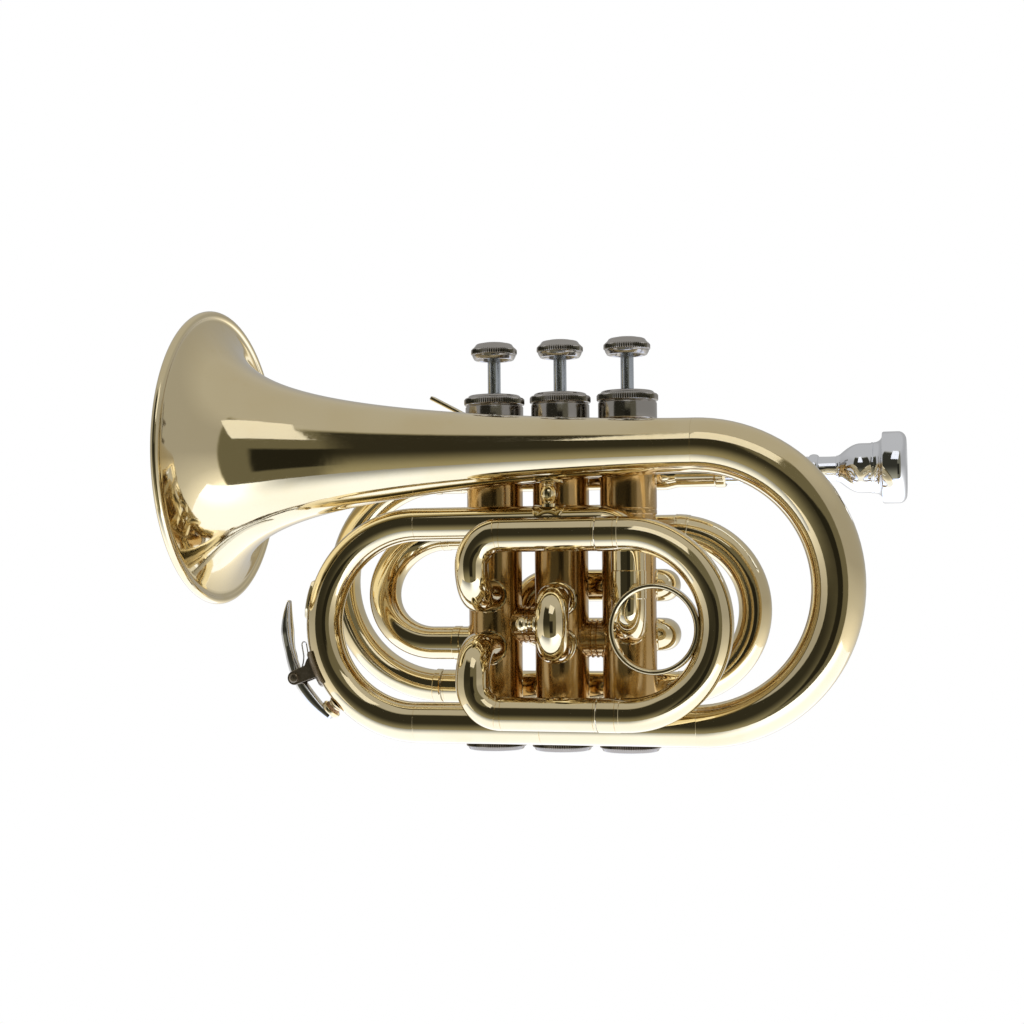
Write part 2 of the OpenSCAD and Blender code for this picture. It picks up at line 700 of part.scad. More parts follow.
module return_tube() {
    color(BRASS) straight([-tuning_bow_x, rear_y, tuning_low_z], [rear_bow_x, rear_y, tuning_low_z],
        tube_r, tube_r - tube_wall);
}

module rear_inner_bow() {
    x = rear_bow_x + rear_bow_r;
    color(BRASS) pipe([[rear_bow_x, rear_y, tuning_low_z], [x, rear_y, tuning_low_z],
        [x, rear_y, inner_leg_z], [rear_bow_x, rear_y, inner_leg_z]],
        rear_bow_r, tube_r, tube_r - tube_wall);
}

// Upper leg, the slanted front bow and the leg into the third valve
module inner_front_bow() {
    rise = inner_leg_z - inlet_z;
    bore = tube_r - tube_wall;
    color(BRASS) {
        straight([-inner_bow_x + seam, rear_y, inner_leg_z], [rear_bow_x - seam, rear_y, inner_leg_z],
            tube_r, bore);
        translate([-inner_bow_x, rear_y / 2, inlet_z + rise / 2])
            rotate([-atan2(rear_y, rise), 0, 0]) rotate([90, 0, 0]) rotate([0, 0, 90])
            rotate_extrude(angle = 180) translate([norm([rear_y, rise]) / 2, 0]) ring_2d(tube_r, bore);
        stub(2, 180, inlet_z, inner_bow_x - valve_pitch, tube_r, bore);
    }
}

// ---- Third slide ----

module third_slide_tubes() {
    x = -valve_pitch;
    bore = slide_r - tube_wall;
    color(BRASS) for (i = [0, 1]) {
        pipe([[x, -stub_end, third_port_z[i]], [x, third_y, third_port_z[i]], [x, third_y, third_leg_z[i]],
            [third_split_x, third_y, third_leg_z[i]]], third_elbow_r(i), slide_r, bore);
        stub(2, third_angle, third_port_z[i], stub_end, slide_r, bore);
    }
}
// Elbow radius that lets two bends meet between a port and its leg
function third_elbow_r(i) = min(elbow_r, abs(third_leg_z[i] - third_port_z[i]) / 2);

module third_slide_bow() {
    start = third_split_x + air;
    x = third_bow_x + third_bow_r;
    lo = third_leg_z[0];
    hi = third_leg_z[1];
    color(BRASS) difference() {
        union() {
            pipe([[start, third_y, hi], [x, third_y, hi], [x, third_y, lo], [start, third_y, lo]],
                third_bow_r, slide_r);
            for (z = [lo, hi])
                straight([start, third_y, z], [start + collar_l, third_y, z], slide_r + 0.15);
        }
        pipe([[start - 1, third_y, hi], [x, third_y, hi], [x, third_y, lo], [start - 1, third_y, lo]],
            third_bow_r, leg_r - leg_wall);
    }
}

module third_slide_legs() {
    a = third_split_x + air;
    color(NICKEL) for (z = third_leg_z)
        straight([a - third_leg_l, third_y, z], [a, third_y, z], leg_r, leg_r - leg_wall);
}

module finger_ring() {
    bow_end = third_bow_x + third_bow_r;
    color(BRASS) difference() {
        translate([ring_x, third_y + ring_band / 2, ring_z]) rotate([90, 0, 0]) difference() {
            cylinder(r = ring_d / 2 + 0.4, h = ring_band);
            translate([0, 0, -1]) cylinder(r = ring_d / 2 - ring_wall, h = ring_band + 2);
        }
        bend_at([bow_end, third_y, third_leg_z[1]], [1, 0, 0], [0, 0, -1], third_bow_r, slide_r);
        bend_at([bow_end, third_y, third_leg_z[0]], [0, 0, -1], [-1, 0, 0], third_bow_r, slide_r);
    }
}

// ---- Second slide ----

function second_point(reach, z) = polar(second_angle, reach, z);

module second_slide_tubes() {
    color(BRASS) for (z = second_port_z)
        stub(1, second_angle, z, second_split, slide_r, slide_r - tube_wall);
}

module second_slide_bow() {
    a = second_split + air;
    b = second_reach + second_bow_r;
    lo = second_port_z[0];
    hi = second_port_z[1];
    color(BRASS) rotate([0, 0, second_angle]) difference() {
        pipe([[a, 0, hi], [b, 0, hi], [b, 0, lo], [a, 0, lo]], second_bow_r, slide_r);
        pipe([[a - 1, 0, hi], [b, 0, hi], [b, 0, lo], [a - 1, 0, lo]], second_bow_r, leg_r - leg_wall);
    }
}

module second_slide_legs() {
    a = second_split + air;
    color(NICKEL) for (z = second_port_z)
        straight(second_point(casing_r + 0.5, z), second_point(a, z), leg_r, leg_r - leg_wall);
}

// Turned pull knob on the side of the second slide's bow
module slide_knob() {
    z = (second_port_z[0] + second_port_z[1]) / 2;
    side = polar(second_angle - 90, 1, 0);
    root = second_point(second_reach + second_bow_r, z) + side * (slide_r - 0.5);
    color(BRASS) along(root, root + side) rotate_extrude() polygon(concat(
        [[0, 0], [2.6, 0], [2.6, 1.2], [1.4, 2], [1.4, 2.6]],
        [for (i = [0 : 8]) let (a = -60 + 150 * i / 8) [3 * cos(a), 5 + 2.4 * sin(a)]]
    ));
}

// ---- First slide ----

first_elbow_r = slide_r + 0.6;
// Plane of the first slide, where its elbows come level with its legs
first_y = stub_end * sin(first_exit) + first_elbow_r * (1 + cos(first_exit));
first_bend_x = VALVE_X[0] + stub_end * cos(first_exit) - first_elbow_r * sin(first_exit);

module first_slide_tubes() {
    bore = slide_r - tube_wall;
    color(BRASS) for (z = first_leg_z) {
        straight([first_split_x, first_y, z], [first_bend_x, first_y, z], slide_r, bore);
        translate([first_bend_x, first_y - first_elbow_r, z]) rotate([0, 0, 90]) mirror([0, 1, 0])
            rotate_extrude(angle = 180 - first_exit) translate([first_elbow_r, 0]) ring_2d(slide_r, bore);
        stub(0, first_exit, z, stub_end, slide_r, bore);
    }
}

module first_slide_bow() {
    a = first_split_x - air;
    x = -first_bow_x - first_bow_r;
    lo = first_leg_z[0];
    hi = first_leg_z[1];
    color(BRASS) difference() {
        pipe([[a, first_y, hi], [x, first_y, hi], [x, first_y, lo], [a, first_y, lo]], first_bow_r,
            slide_r);
        pipe([[a + 1, first_y, hi], [x, first_y, hi], [x, first_y, lo], [a + 1, first_y, lo]], first_bow_r,
            leg_r - leg_wall);
    }
}

module first_slide_legs() {
    a = first_split_x - air;
    color(NICKEL) for (z = first_leg_z)
        straight([a, first_y, z], [a + first_leg_l, first_y, z], leg_r, leg_r - leg_wall);
}

// ---- Braces, hook and water key ----

// Soldered pad between a casing and a tube beside it, its middle a little above or below the tube's axis
module pad(n, y, z, tube, size, shift = 0) {
    low = min(0, y);
    mid = z + shift;
    barrel = z > sleeve_low_z ? sleeve_r : casing_r;
    difference() {
        translate([VALVE_X[n] - size / 2, low, mid - size / 2]) cube([size, abs(y), size]);
        translate([VALVE_X[n], 0, casing_low_z - 9]) cylinder(r = barrel, h = 200);
        straight([VALVE_X[n] - 20, y, z], [VALVE_X[n] + 20, y, z], tube);
    }
}

module tube_braces() {
    size = 7;
    color(BRASS) {
        for (n = [0, 2]) pad(n, rear_y, leadpipe_z, tube_r, size);
        for (n = [0, 2]) pad(n, rear_y, tuning_low_z, tube_r, size);
        pad(1, rear_y, inner_leg_z, tube_r, size);
        pad(1, front_y, lower_leg_z, lower_leg_r, size, 2);
        pad(1, front_y, upper_leg_z, tube_r, size - 2, -3);
    }
}

// Hook for the little finger, a strip that rises from the leadpipe and leans over towards the bell
hook_x = -30;
hook_w = 7;
hook_t = 1.8;
hook_r = 9;
hook_turn = 62;
module finger_hook() {
    heel = [hook_x, leadpipe_z + tube_r + hook_t / 2];
    top_r = hook_r + 1.6;
    top = heel + [-hook_r - top_r, hook_r];
    color(BRASS) across_y(rear_y, hook_w) polygon(strip(concat(
        [heel + [8, 0]],
        arc_points(heel + [0, hook_r], hook_r, -90, -180, 10),
        arc_points(top, top_r, 4, hook_turn, 8),
        [top + top_r * [cos(hook_turn), sin(hook_turn)] + 13.6 * [-sin(hook_turn), cos(hook_turn)]]
    ), hook_t));
}

// Water key on the outside of the front bow
front_centre = [-front_bow_x, front_bow_z];
key_angle = 203.3;
key_w = 6;
key_t = 1.6;
key_r = front_bow_r + 15.2;
nipple_angle = 223.3;
pin_r = 1.1;
hub_r = 2.3;
ear_t = 1.2;
ear_y = key_w / 2 + air;
// Outer face of the nipple, outer face of the cork and middle of the arm above the cup
nipple_end = front_bow_r + lower_leg_r + 1.1;
cork_end = nipple_end + 2.4;
cup_r = cork_end + 1.4;
function around_bow(r, angle) = front_centre + r * [cos(angle), sin(angle)];
function key_place(r, angle) = let (p = around_bow(r, angle)) [p[0], front_y, p[1]];
key_pivot = around_bow(key_r, key_angle);

module key_post(r_from, r_to, angle, r, bore = 0) {
    straight(key_place(r_from, angle), key_place(r_to, angle), r, bore);
}

// Saddle, two ears and their pin, and the nipple that the cork closes
module water_key_mount() {
    saddle_r = lower_leg_r - 0.1;
    ear_foot = 5;
    color(BRASS) {
        translate([0, front_y, 0]) difference() {
            for (s = [-1, 1]) across_y(s * (ear_y + ear_t / 2), ear_t) polygon(concat(
                arc_points(key_pivot, hub_r + 0.4, key_angle - 90, key_angle + 90, 12),
                [for (side = [1, -1]) around_bow(front_bow_r + 3, key_angle + side * ear_foot)]
            ));
            translate([-front_bow_x, 0, front_bow_z]) rotate([-90, 0, 0]) rotate([0, 0, -key_angle - 20])
                rotate_extrude(angle = 40) translate([front_bow_r, 0]) circle(saddle_r);
        }
        translate([key_pivot[0], front_y - ear_y - ear_t - 0.6, key_pivot[1]]) rotate([-90, 0, 0])
            cylinder(r = pin_r, h = 2 * (ear_y + ear_t + 0.6));
    }
    color(BRASS) key_post(front_bow_r + lower_leg_r - 0.35, nipple_end, nipple_angle, 2.8, 1.3);
}

module water_key_cork() {
    color(CORK) key_post(nipple_end, cork_end, nipple_angle, 3);
}

// Lever with its hub, the curved finger arm above and the arm to the cork cup below
module water_key_lever() {
    arm_r = 50;
    arm_start = 204.2;
    arm_end = 169.8;
    arm_centre = key_pivot - arm_r * [cos(arm_start), sin(arm_start)];
    color(SILVER) translate([0, front_y, 0]) difference() {
        union() {
            across_y(0, key_w) polygon(strip(concat(
                arc_points(arm_centre, arm_r, arm_end, arm_start - 2, 12),
                [for (i = [0 : 6]) around_bow(key_r + (cup_r - key_r) * i / 6,
                    key_angle + 2 + (nipple_angle - key_angle) * i / 6)]
            ), key_t));
            translate([key_pivot[0], -1.5, key_pivot[1]]) rotate([-90, 0, 0]) cylinder(r = hub_r, h = 3);
            translate([0, -front_y, 0]) key_post(cork_end, cup_r, nipple_angle, 3.6);
            translate([0, -front_y, 0]) key_post(cork_end - 1.4, cork_end + 0.1, nipple_angle, 3.6, 3);
        }
        translate([key_pivot[0], -key_w, key_pivot[1]]) rotate([-90, 0, 0])
            cylinder(r = pin_r + running_gap, h = 2 * key_w);
        for (s = [-1, 1]) translate([key_pivot[0], s * (1.5 + key_w / 2), key_pivot[1]])
            rotate([90, 0, 0]) cylinder(r = hub_r + 0.4, h = key_w, center = true);
    }
}

// Wire wound round the pin on both sides of the lever's hub
module water_key_spring() {
    wire = 0.25;
    coil_l = 1.6;
    color(STEEL) for (y = [-1.6 - coil_l, 1.6]) translate([key_pivot[0], front_y + y, key_pivot[1]])
        rotate([-90, 0, 0]) coil(pin_r + wire + 0.12, wire, 2, coil_l);
}

bell();
bell_rim_ring();
bell_bow();
lower_leg();
front_bow();
upper_leg();
outlet_elbow();
bow_guard();
bell_brace();
valve_casing(0);  // valve_casing_1
valve_casing(1);  // valve_casing_2
valve_casing(2);  // valve_casing_3
top_cap(0);  // top_cap_1
top_cap(1);  // top_cap_2
top_cap(2);  // top_cap_3
bottom_cap(0);  // bottom_cap_1
bottom_cap(1);  // bottom_cap_2
bottom_cap(2);  // bottom_cap_3
valve_guides();
cap_felts();
valve_knuckles();
piston(0);  // piston_1
piston(1);  // piston_2
piston(2);  // piston_3
valve_stem(0);  // valve_stem_1
valve_stem(1);  // valve_stem_2
valve_stem(2);  // valve_stem_3
finger_button(0);  // finger_button_1
finger_button(1);  // finger_button_2
finger_button(2);  // finger_button_3
valve_spring(0);  // valve_spring_1
valve_spring(1);  // valve_spring_2
valve_spring(2);  // valve_spring_3
leadpipe();
mouthpiece_receiver();
mouthpiece();
tuning_slide_bow();
tuning_slide_legs();
return_tube();
rear_inner_bow();
inner_front_bow();
third_slide_tubes();
third_slide_bow();
third_slide_legs();
finger_ring();
second_slide_tubes();
second_slide_bow();
second_slide_legs();
slide_knob();
first_slide_tubes();
first_slide_bow();
first_slide_legs();
tube_braces();
finger_hook();
water_key_mount();
water_key_lever();
water_key_cork();
water_key_spring();
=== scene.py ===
"""Finished surfaces of a three-valve pocket trumpet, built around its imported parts.

Each operator makes one piece or one group of like pieces. Lengths inside the
mesh functions are in millimetres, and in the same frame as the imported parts.
"""

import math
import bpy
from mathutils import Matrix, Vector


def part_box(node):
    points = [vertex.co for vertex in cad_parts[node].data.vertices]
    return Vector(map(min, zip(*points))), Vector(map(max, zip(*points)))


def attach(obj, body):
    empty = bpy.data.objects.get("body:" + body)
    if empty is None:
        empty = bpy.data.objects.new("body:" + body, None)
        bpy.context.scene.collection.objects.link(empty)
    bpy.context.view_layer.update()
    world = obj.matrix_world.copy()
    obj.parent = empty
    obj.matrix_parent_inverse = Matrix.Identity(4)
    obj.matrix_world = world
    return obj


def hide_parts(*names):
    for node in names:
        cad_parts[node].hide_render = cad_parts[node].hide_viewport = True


bl_info = {
    "name": "Pocket Trumpet Finish",
    "version": (1, 0, 0),
    "blender": (4, 5, 0),
    "location": "3D View > Sidebar > Trumpet",
    "description": "Builds the plated and lacquered surfaces of a three-valve pocket trumpet",
    "category": "Add Mesh",
}

import bmesh
import bpy
from mathutils import Matrix, Vector

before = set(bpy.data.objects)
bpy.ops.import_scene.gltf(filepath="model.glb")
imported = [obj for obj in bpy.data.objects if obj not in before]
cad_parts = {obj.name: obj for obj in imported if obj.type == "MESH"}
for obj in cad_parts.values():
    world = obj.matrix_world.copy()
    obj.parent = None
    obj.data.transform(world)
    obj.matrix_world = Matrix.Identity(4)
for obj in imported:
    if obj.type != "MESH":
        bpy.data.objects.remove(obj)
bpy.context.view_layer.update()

MM = 0.001
X, Y, Z = Vector((1, 0, 0)), Vector((0, 1, 0)), Vector((0, 0, 1))
VALVES = (1, 2, 3)

# ---------------------------------------------------------------- settings


def length_setting(name, description, value):
    """A length setting."""
    return bpy.props.FloatProperty(
        name=name, description=description, default=value, unit="LENGTH", precision=5
    )


def number_setting(name, description, value):
    """A setting without a unit."""
    return bpy.props.FloatProperty(name=name, description=description, default=value)


def count_setting(name, description, value):
    """A whole number setting."""
    return bpy.props.IntProperty(name=name, description=description, default=value)


def angle_setting(name, description, degrees):
    """An angle setting."""
    return bpy.props.FloatProperty(
        name=name, description=description, default=math.radians(degrees), subtype="ANGLE"
    )


def colour(name, description, value):
    """A colour setting."""
    return bpy.props.FloatVectorProperty(
        name=name, description=description, default=value, size=3, subtype="COLOR", min=0, max=1
    )


class TrumpetSizes(bpy.types.PropertyGroup):
    """Sizes of the surface detail."""

    tube_wall: length_setting("Tube wall", "Wall of the cylindrical tubing", 0.0005)
    bell_wall: length_setting("Bell wall", "Wall of the bell and its bow", 0.0006)
    groove: length_setting("Groove depth", "Depth of the turned lines", 0.00014)
    ferrule: length_setting("Ferrule rise", "How far a ferrule stands out", 0.00022)
    knurl: length_setting("Knurl depth", "Depth of the knurled edges", 0.00045)
    solder: length_setting("Solder bead", "Radius of the solder round a joint", 0.0006)
    cap_teeth: count_setting("Cap teeth", "Knurl teeth around a valve cap", 80)
    button_teeth: count_setting("Button teeth", "Knurl teeth around a button", 60)
    sides: count_setting("Tube sides", "Faces around a tube", 48)


class TrumpetColours(bpy.types.PropertyGroup):
    """Colours of the finishes."""

    brass: colour("Brass", "Lacquered brass", (0.82, 0.69, 0.42))
    brass_deep: colour("Deep brass", "Brass where the lacquer is thicker", (0.75, 0.59, 0.30))
    # Casing colours: the lacquered brass darkened as painted shade, standing in for the shade that falls on
    # the valve casings among the tubes; the deep tone is a darker painted shade, mixed in at random by the
    # cloud noise.
    casing: colour("Casing brass", "Brass of the valve casings", (0.56, 0.37, 0.15))
    casing_deep: colour("Deep casing brass", "Darker lacquer on the casings", (0.41, 0.24, 0.07))
    nickel: colour("Nickel", "Nickel plate on caps and buttons", (0.47, 0.44, 0.40))
    cap: colour("Bottom caps", "Warmer plate on the bottom caps", (0.36, 0.31, 0.24))
    steel: colour("Stem plate", "Plated valve stems", (0.58, 0.62, 0.66))
    silver: colour("Silver", "Silver plate on the mouthpiece", (0.90, 0.91, 0.93))
    chrome: colour("Chrome", "Chrome plate on the water key", (0.78, 0.77, 0.75))
    bracket: colour("Bracket", "Dull plate on the water key's bracket", (0.47, 0.39, 0.28))
    slide: colour("Slide leg", "Nickel silver of the inner slides", (0.72, 0.70, 0.64))
    piston: colour("Piston", "Plated pistons", (0.68, 0.69, 0.70))
    cork: colour("Cork", "Water key cork", (0.30, 0.17, 0.08))
    felt: colour("Felt", "Felt under the caps", (0.05, 0.11, 0.06))
    floor: colour("Floor", "Cool light of the pale studio floor", (0.70, 0.78, 1.0))


class TrumpetStudio(bpy.types.PropertyGroup):
    """Camera and light of the stage."""

    azimuth: angle_setting("Camera azimuth", "Angle round the object", 14.474)
    elevation: angle_setting("Camera elevation", "Angle above the horizon", -2.249)
    roll: angle_setting("Camera roll", "Tilt of the camera", -0.431)
    distance: length_setting("Camera distance", "From the camera to its target", 0.65424)
    target: bpy.props.FloatVectorProperty(
        name="Camera target",
        description="Point the camera looks at",
        default=(-0.01945, 0, 0.0065),
        subtype="XYZ",
    )
    lens: number_setting("Lens", "Focal length in millimetres", 59.57)
    floor_drop: length_setting("Floor height", "Height of the pale floor", -0.42)
    floor_glow: number_setting("Floor light", "Light that the floor gives", 2.15)
    panel_glow: number_setting("Panel light", "Light of the soft panel", 0.3)
    panel_distance: length_setting("Panel distance", "From the bell to the soft panel", 0.5)
    tent: number_setting("Tent light", "Light of the white tent", 0.52)


# ---------------------------------------------------------------- shader maths


class Signal:
    """One output of a node. Arithmetic on it adds the Math nodes that work it out."""

    def __init__(self, graph, socket):
        self.graph, self.socket = graph, socket

    def join(self, operation, *values):
        return self.graph.add("ShaderNodeMath", {"operation": operation}, dict(enumerate(values)))

    def __add__(self, other):
        return self.join("ADD", self, other)

    def __sub__(self, other):
        return self.join("SUBTRACT", self, other)

    def __rsub__(self, other):
        return self.join("SUBTRACT", other, self)

    def __mul__(self, other):
        return self.join("MULTIPLY", self, other)

    def __truediv__(self, other):
        return self.join("DIVIDE", self, other)

    __radd__, __rmul__ = __add__, __mul__

    def step(self, low, high, bottom=0.0, top=1.0):
        """Rises smoothly from bottom to top as the signal goes from low to high."""
        return self.graph.add(
            "ShaderNodeMapRange",
            {"interpolation_type": "SMOOTHSTEP"},
            {"Value": self, "From Min": low, "From Max": high, "To Min": bottom, "To Max": top},
        )


class Graph:
    """A node tree that is built up node by node."""

    def __init__(self, owner):
        owner.use_nodes = True
        self.tree = owner.node_tree
        self.tree.nodes.clear()

    def add(self, kind, settings=None, inputs=None, output=0):
        """Adds a node, sets it up, feeds its sockets and returns one of its outputs."""
        node = self.tree.nodes.new(kind)
        for key, value in (settings or {}).items():
            if key == "stops":
                ramp = node.color_ramp.elements
                while len(ramp) < len(value):
                    ramp.new(1)
                for stop, (place, tone) in zip(ramp, value):
                    stop.position, stop.color = place, (*tone, 1)
            else:
                setattr(node, key, value)
        for key, value in (inputs or {}).items():
            if isinstance(value, Signal):
                self.tree.links.new(value.socket, node.inputs[key])
            else:
                node.inputs[key].default_value = value
        return Signal(self, node.outputs[output])

    def mix(self, factor, first, second):
        """Blends two colours."""
        tones = [t if isinstance(t, Signal) else (*t, 1) for t in (first, second)]
        return self.add("ShaderNodeMix", {"data_type": "RGBA"}, {0: factor, 6: tones[0], 7: tones[1]}, 2)

    def noise(self, place, scale, detail=2.0, roughness=0.5):
        """Soft cloud noise, with its scale in lumps a metre."""
        return self.add(
            "ShaderNodeTexNoise", None,
            {"Vector": place, "Scale": scale, "Detail": detail, "Roughness": roughness}
        )

    def place(self, stretch=(1, 1, 1)):
        """The piece's own coordinates, stretched where the grain runs."""
        own = self.add("ShaderNodeTexCoord", output="Object")
        if stretch == (1, 1, 1):
            return own
        return self.add("ShaderNodeVectorMath", {"operation": "MULTIPLY"}, {0: own, 1: stretch})

    def finish(self, surface):
        """Joins a surface to the output of a material or a world."""
        world = isinstance(self.tree.id_data, bpy.types.World)
        node = self.tree.nodes.new("ShaderNodeOutputWorld" if world else "ShaderNodeOutputMaterial")
        self.tree.links.new(surface.socket, node.inputs["Surface"])


# Slot, colour, deep colour or its share, roughness, wear, coat, ripple in metres, stretch of the grain.
PLATES = {
    "lacquered_brass": ("lacquered_brass", "brass", "brass_deep", 0.055, 0.05, 0.4, 0.000012, (0.25, 1, 1)),
    # Casing brass: the lacquered brass with darker colours, painted shade standing in for the shade that
    # falls on the valve casings.
    "casing_brass": ("lacquered_brass", "casing", "casing_deep", 0.17, 0.06, 0.3, 0.000006, (1, 1, 0.25)),
    "nickel_plate": ("nickel_plate", "nickel", 0.8, 0.13, 0.10, 0, 0.00001, (1, 1, 0.12)),
    "cap_plate": ("nickel_plate", "cap", 0.75, 0.16, 0.10, 0, 0.00001, (1, 1, 0.12)),
    "stem_plate": ("nickel_plate", "steel", 0.85, 0.24, 0.12, 0, 0.000006, (1, 1, 6)),
    "silver_plate": ("silver_plate", "silver", 0.9, 0.05, 0.05, 0, 0.000008, (6, 1, 1)),
    "chrome_plate": ("chrome_plate", "chrome", 0.85, 0.05, 0.06, 0, 0.00001, (1, 1, 1)),
    "bracket_plate": ("nickel_plate", "bracket", 0.6, 0.28, 0.15, 0, 0.00001, (1, 1, 1)),
    "slide_plate": ("slide_leg", "slide", 0.88, 0.1, 0.14, 0, 0.000006, (0.1, 1, 1)),
    "piston_plate": ("piston_plate", "piston", 0.86, 0.18, 0.12, 0, 0.000006, (1, 1, 6)),
    "spring_wire": ("spring_steel", "piston", 0.86, 0.18, 0.12, 0, 0.000006, (1, 1, 6)),
}


def plated(name):
    """Polished metal: slow tone changes, hairline scratches, handling marks and a faint ripple."""
    _, tone, deep, rough, wear, coat, ripple, stretch = PLATES[name]
    colours = bpy.context.scene.trumpet_colours
    tone = getattr(colours, tone)
    deep = getattr(colours, deep) if isinstance(deep, str) else [deep * v for v in tone]
    material = bpy.data.materials.new(name)
    graph = Graph(material)
    own = graph.place()
    cloud = graph.noise(own, 22, 3)
    hair = graph.noise(graph.place(stretch), 900, 4, 0.7)
    handled = graph.noise(own, 75, 4, 0.62).step(0.54, 0.72)
    dust = graph.noise(own, 2600, 1).step(0.70, 0.78)
    base = graph.mix(cloud.step(0.35, 0.75) * 0.5 + handled * 0.12, tone, deep)
    shine = rough + hair.step(0.5, 0.8) * wear + handled * (0.6 * wear) + dust * 0.1
    waves = graph.noise(own, 260, 1) + hair * 0.06
    bump = graph.add("ShaderNodeBump", None, {"Strength": 1.0, "Distance": ripple, "Height": waves})
    inputs = {"Base Color": base, "Metallic": 1.0, "Roughness": shine, "Normal": bump}
    if coat:
        inputs.update({"Coat Weight": coat - handled * 0.25, "Coat Roughness": 0.03, "Coat IOR": 1.5})
    graph.finish(graph.add("ShaderNodeBsdfPrincipled", None, inputs))
    return material


def cork_block(name):
    """Pressed cork: brown grains with dark pores."""
    material = bpy.data.materials.new(name)
    graph = Graph(material)
    own = graph.place()
    grains = graph.add("ShaderNodeTexVoronoi", None, {"Vector": own, "Scale": 1500.0, "Randomness": 1.0})
    pores = graph.noise(own, 1900, 3).step(0.58, 0.68)
    tone = bpy.context.scene.trumpet_colours.cork
    body = graph.mix(grains.step(0.1, 0.6), tone, [min(1, 1.9 * v) for v in tone])
    bump = graph.add(
        "ShaderNodeBump", None, {"Strength": 0.6, "Distance": 0.0002, "Height": grains - pores * 0.8}
    )
    inputs = {
        "Base Color": graph.mix(pores, body, [0.25 * v for v in tone]), "Roughness": 0.85, "Normal": bump
    }
    graph.finish(graph.add("ShaderNodeBsdfPrincipled", None, inputs))
    return material


def wool_felt(name):
    """Felt: matted fibres."""
    material = bpy.data.materials.new(name)
    graph = Graph(material)
    own = graph.place()
    fibres = graph.noise(own, 5200, 6, 0.75)
    tone = bpy.context.scene.trumpet_colours.felt
    bump = graph.add("ShaderNodeBump", None, {"Strength": 0.8, "Distance": 0.0002, "Height": fibres})
    body = graph.mix(fibres.step(0.3, 0.7), [0.6 * v for v in tone], [min(1, 1.7 * v) for v in tone])
    graph.finish(
        graph.add(
            "ShaderNodeBsdfPrincipled", None,
            {"Base Color": body, "Roughness": 0.95, "Sheen Weight": 0.4, "Normal": bump}
        )
    )
    return material


# Maker and slot of each finish.
FINISHES = {name: (plated, plate[0]) for name, plate in PLATES.items()}
FINISHES.update({"cork_block": (cork_block, "cork"), "wool_felt": (wool_felt, "felt")})
MADE = {}


def finish(name):
    """The finish of that name, made when it is first asked for."""
    if name not in MADE:
        MADE[name] = FINISHES[name][0](name)
        MADE[name].name = name + "_finish"
    return MADE[name]


# ---------------------------------------------------------------- mesh maths


def span(node):
    """Lowest corner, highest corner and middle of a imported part, in millimetres."""
    low, high = (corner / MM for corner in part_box(node))
    return low, high, (low + high) / 2


def setting(name):
    """A length setting in millimetres."""
    return getattr(bpy.context.scene.trumpet_sizes, name) / MM


def sine(degrees):
    return math.sin(math.radians(degrees))


def cosine(degrees):
    return math.cos(math.radians(degrees))


def frame_on(axis, origin, side=None):
    """Matrix whose Z runs along axis and whose origin is at a point."""
    axis = axis.normalized()
    side = side or (X if abs(axis.x) < 0.9 else Y)
    u = (side - axis * side.dot(axis)).normalized()
    v = axis.cross(u)
    rows = [(u[i], v[i], axis[i], origin[i]) for i in range(3)]
    return Matrix((*rows, (0, 0, 0, 1)))


def spokes(u, v, number):
    """Unit vectors round a circle in the plane of u and v."""
    return [u * math.cos(math.tau * k / number) + v * math.sin(math.tau * k / number) for k in range(number)]


def smoothed(points):
    """Evens out a line of points and keeps its ends."""
    middle = [(before + here * 2 + after) / 4 for before, here, after in zip(points, points[1:], points[2:])]
    return [points[0], *middle, points[-1]]


class Shell:
    """Points and faces of one piece, in millimetres."""

    def __init__(self):
        self.points, self.faces = [], []

    def loft(self, rings, loop=False, caps=True):
        """Joins rings of points, each closed on itself. A ring of one point is a pole."""
        starts = []
        for ring in rings:
            starts.append(len(self.points))
            self.points.extend(ring)
        pairs = list(zip(range(len(rings)), range(1, len(rings))))
        if loop:
            pairs.append((len(rings) - 1, 0))
        for i, j in pairs:
            a, b, n, m = starts[i], starts[j], len(rings[i]), len(rings[j])
            for k in range(max(n, m)):
                k2 = (k + 1) % max(n, m)
                if n == 1:
                    self.faces.append((a, b + k, b + k2))
                elif m == 1:
                    self.faces.append((a + k, b, a + k2))
                else:
                    self.faces.append((a + k, b + k, b + k2, a + k2))
        if caps and not loop:
            if len(rings[0]) > 1:
                self.faces.append(tuple(range(starts[0], starts[0] + len(rings[0]))))
            if len(rings[-1]) > 1:
                self.faces.append(tuple(reversed(range(starts[-1], starts[-1] + len(rings[-1])))))
        return self

    def lathe(self, profile, place, sides=72, teeth=0, depth=0.0, loop=False):
        """Turns a profile of (radius, height[, bite]) about place's Z. Bite is the knurl's share."""
        rings = []
        for radius, height, *bite in profile:
            if radius < 1e-4:
                rings.append([place @ Vector((0, 0, height))])
                continue
            ring = []
            for k in range(sides):
                a = math.tau * k / sides
                r = radius
                if bite and bite[0]:
                    r -= depth * bite[0] * (0.5 - 0.5 * math.cos(teeth * a))
                ring.append(place @ Vector((r * math.cos(a), r * math.sin(a), height)))
            rings.append(ring)
        return self.loft(rings, loop)

    def make(self, name, material, body, nodes=(), sharp=34):
        """Makes the mesh in metres, gives it its finish and puts it on its body."""
        mesh = bpy.data.meshes.new(name)
        mesh.from_pydata([p * MM for p in self.points], [], self.faces)
        work = bmesh.new()
        work.from_mesh(mesh)
        bmesh.ops.recalc_face_normals(work, faces=work.faces)
        work.to_mesh(mesh)
        work.free()
        mesh.materials.append(finish(material))
        mesh.shade_smooth()
        mesh.set_sharp_from_angle(angle=math.radians(sharp))
        piece = bpy.data.objects.new(name, mesh)
        bpy.context.scene.collection.objects.link(piece)
        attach(piece, body)
        if nodes:
            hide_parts(*nodes)
        return piece


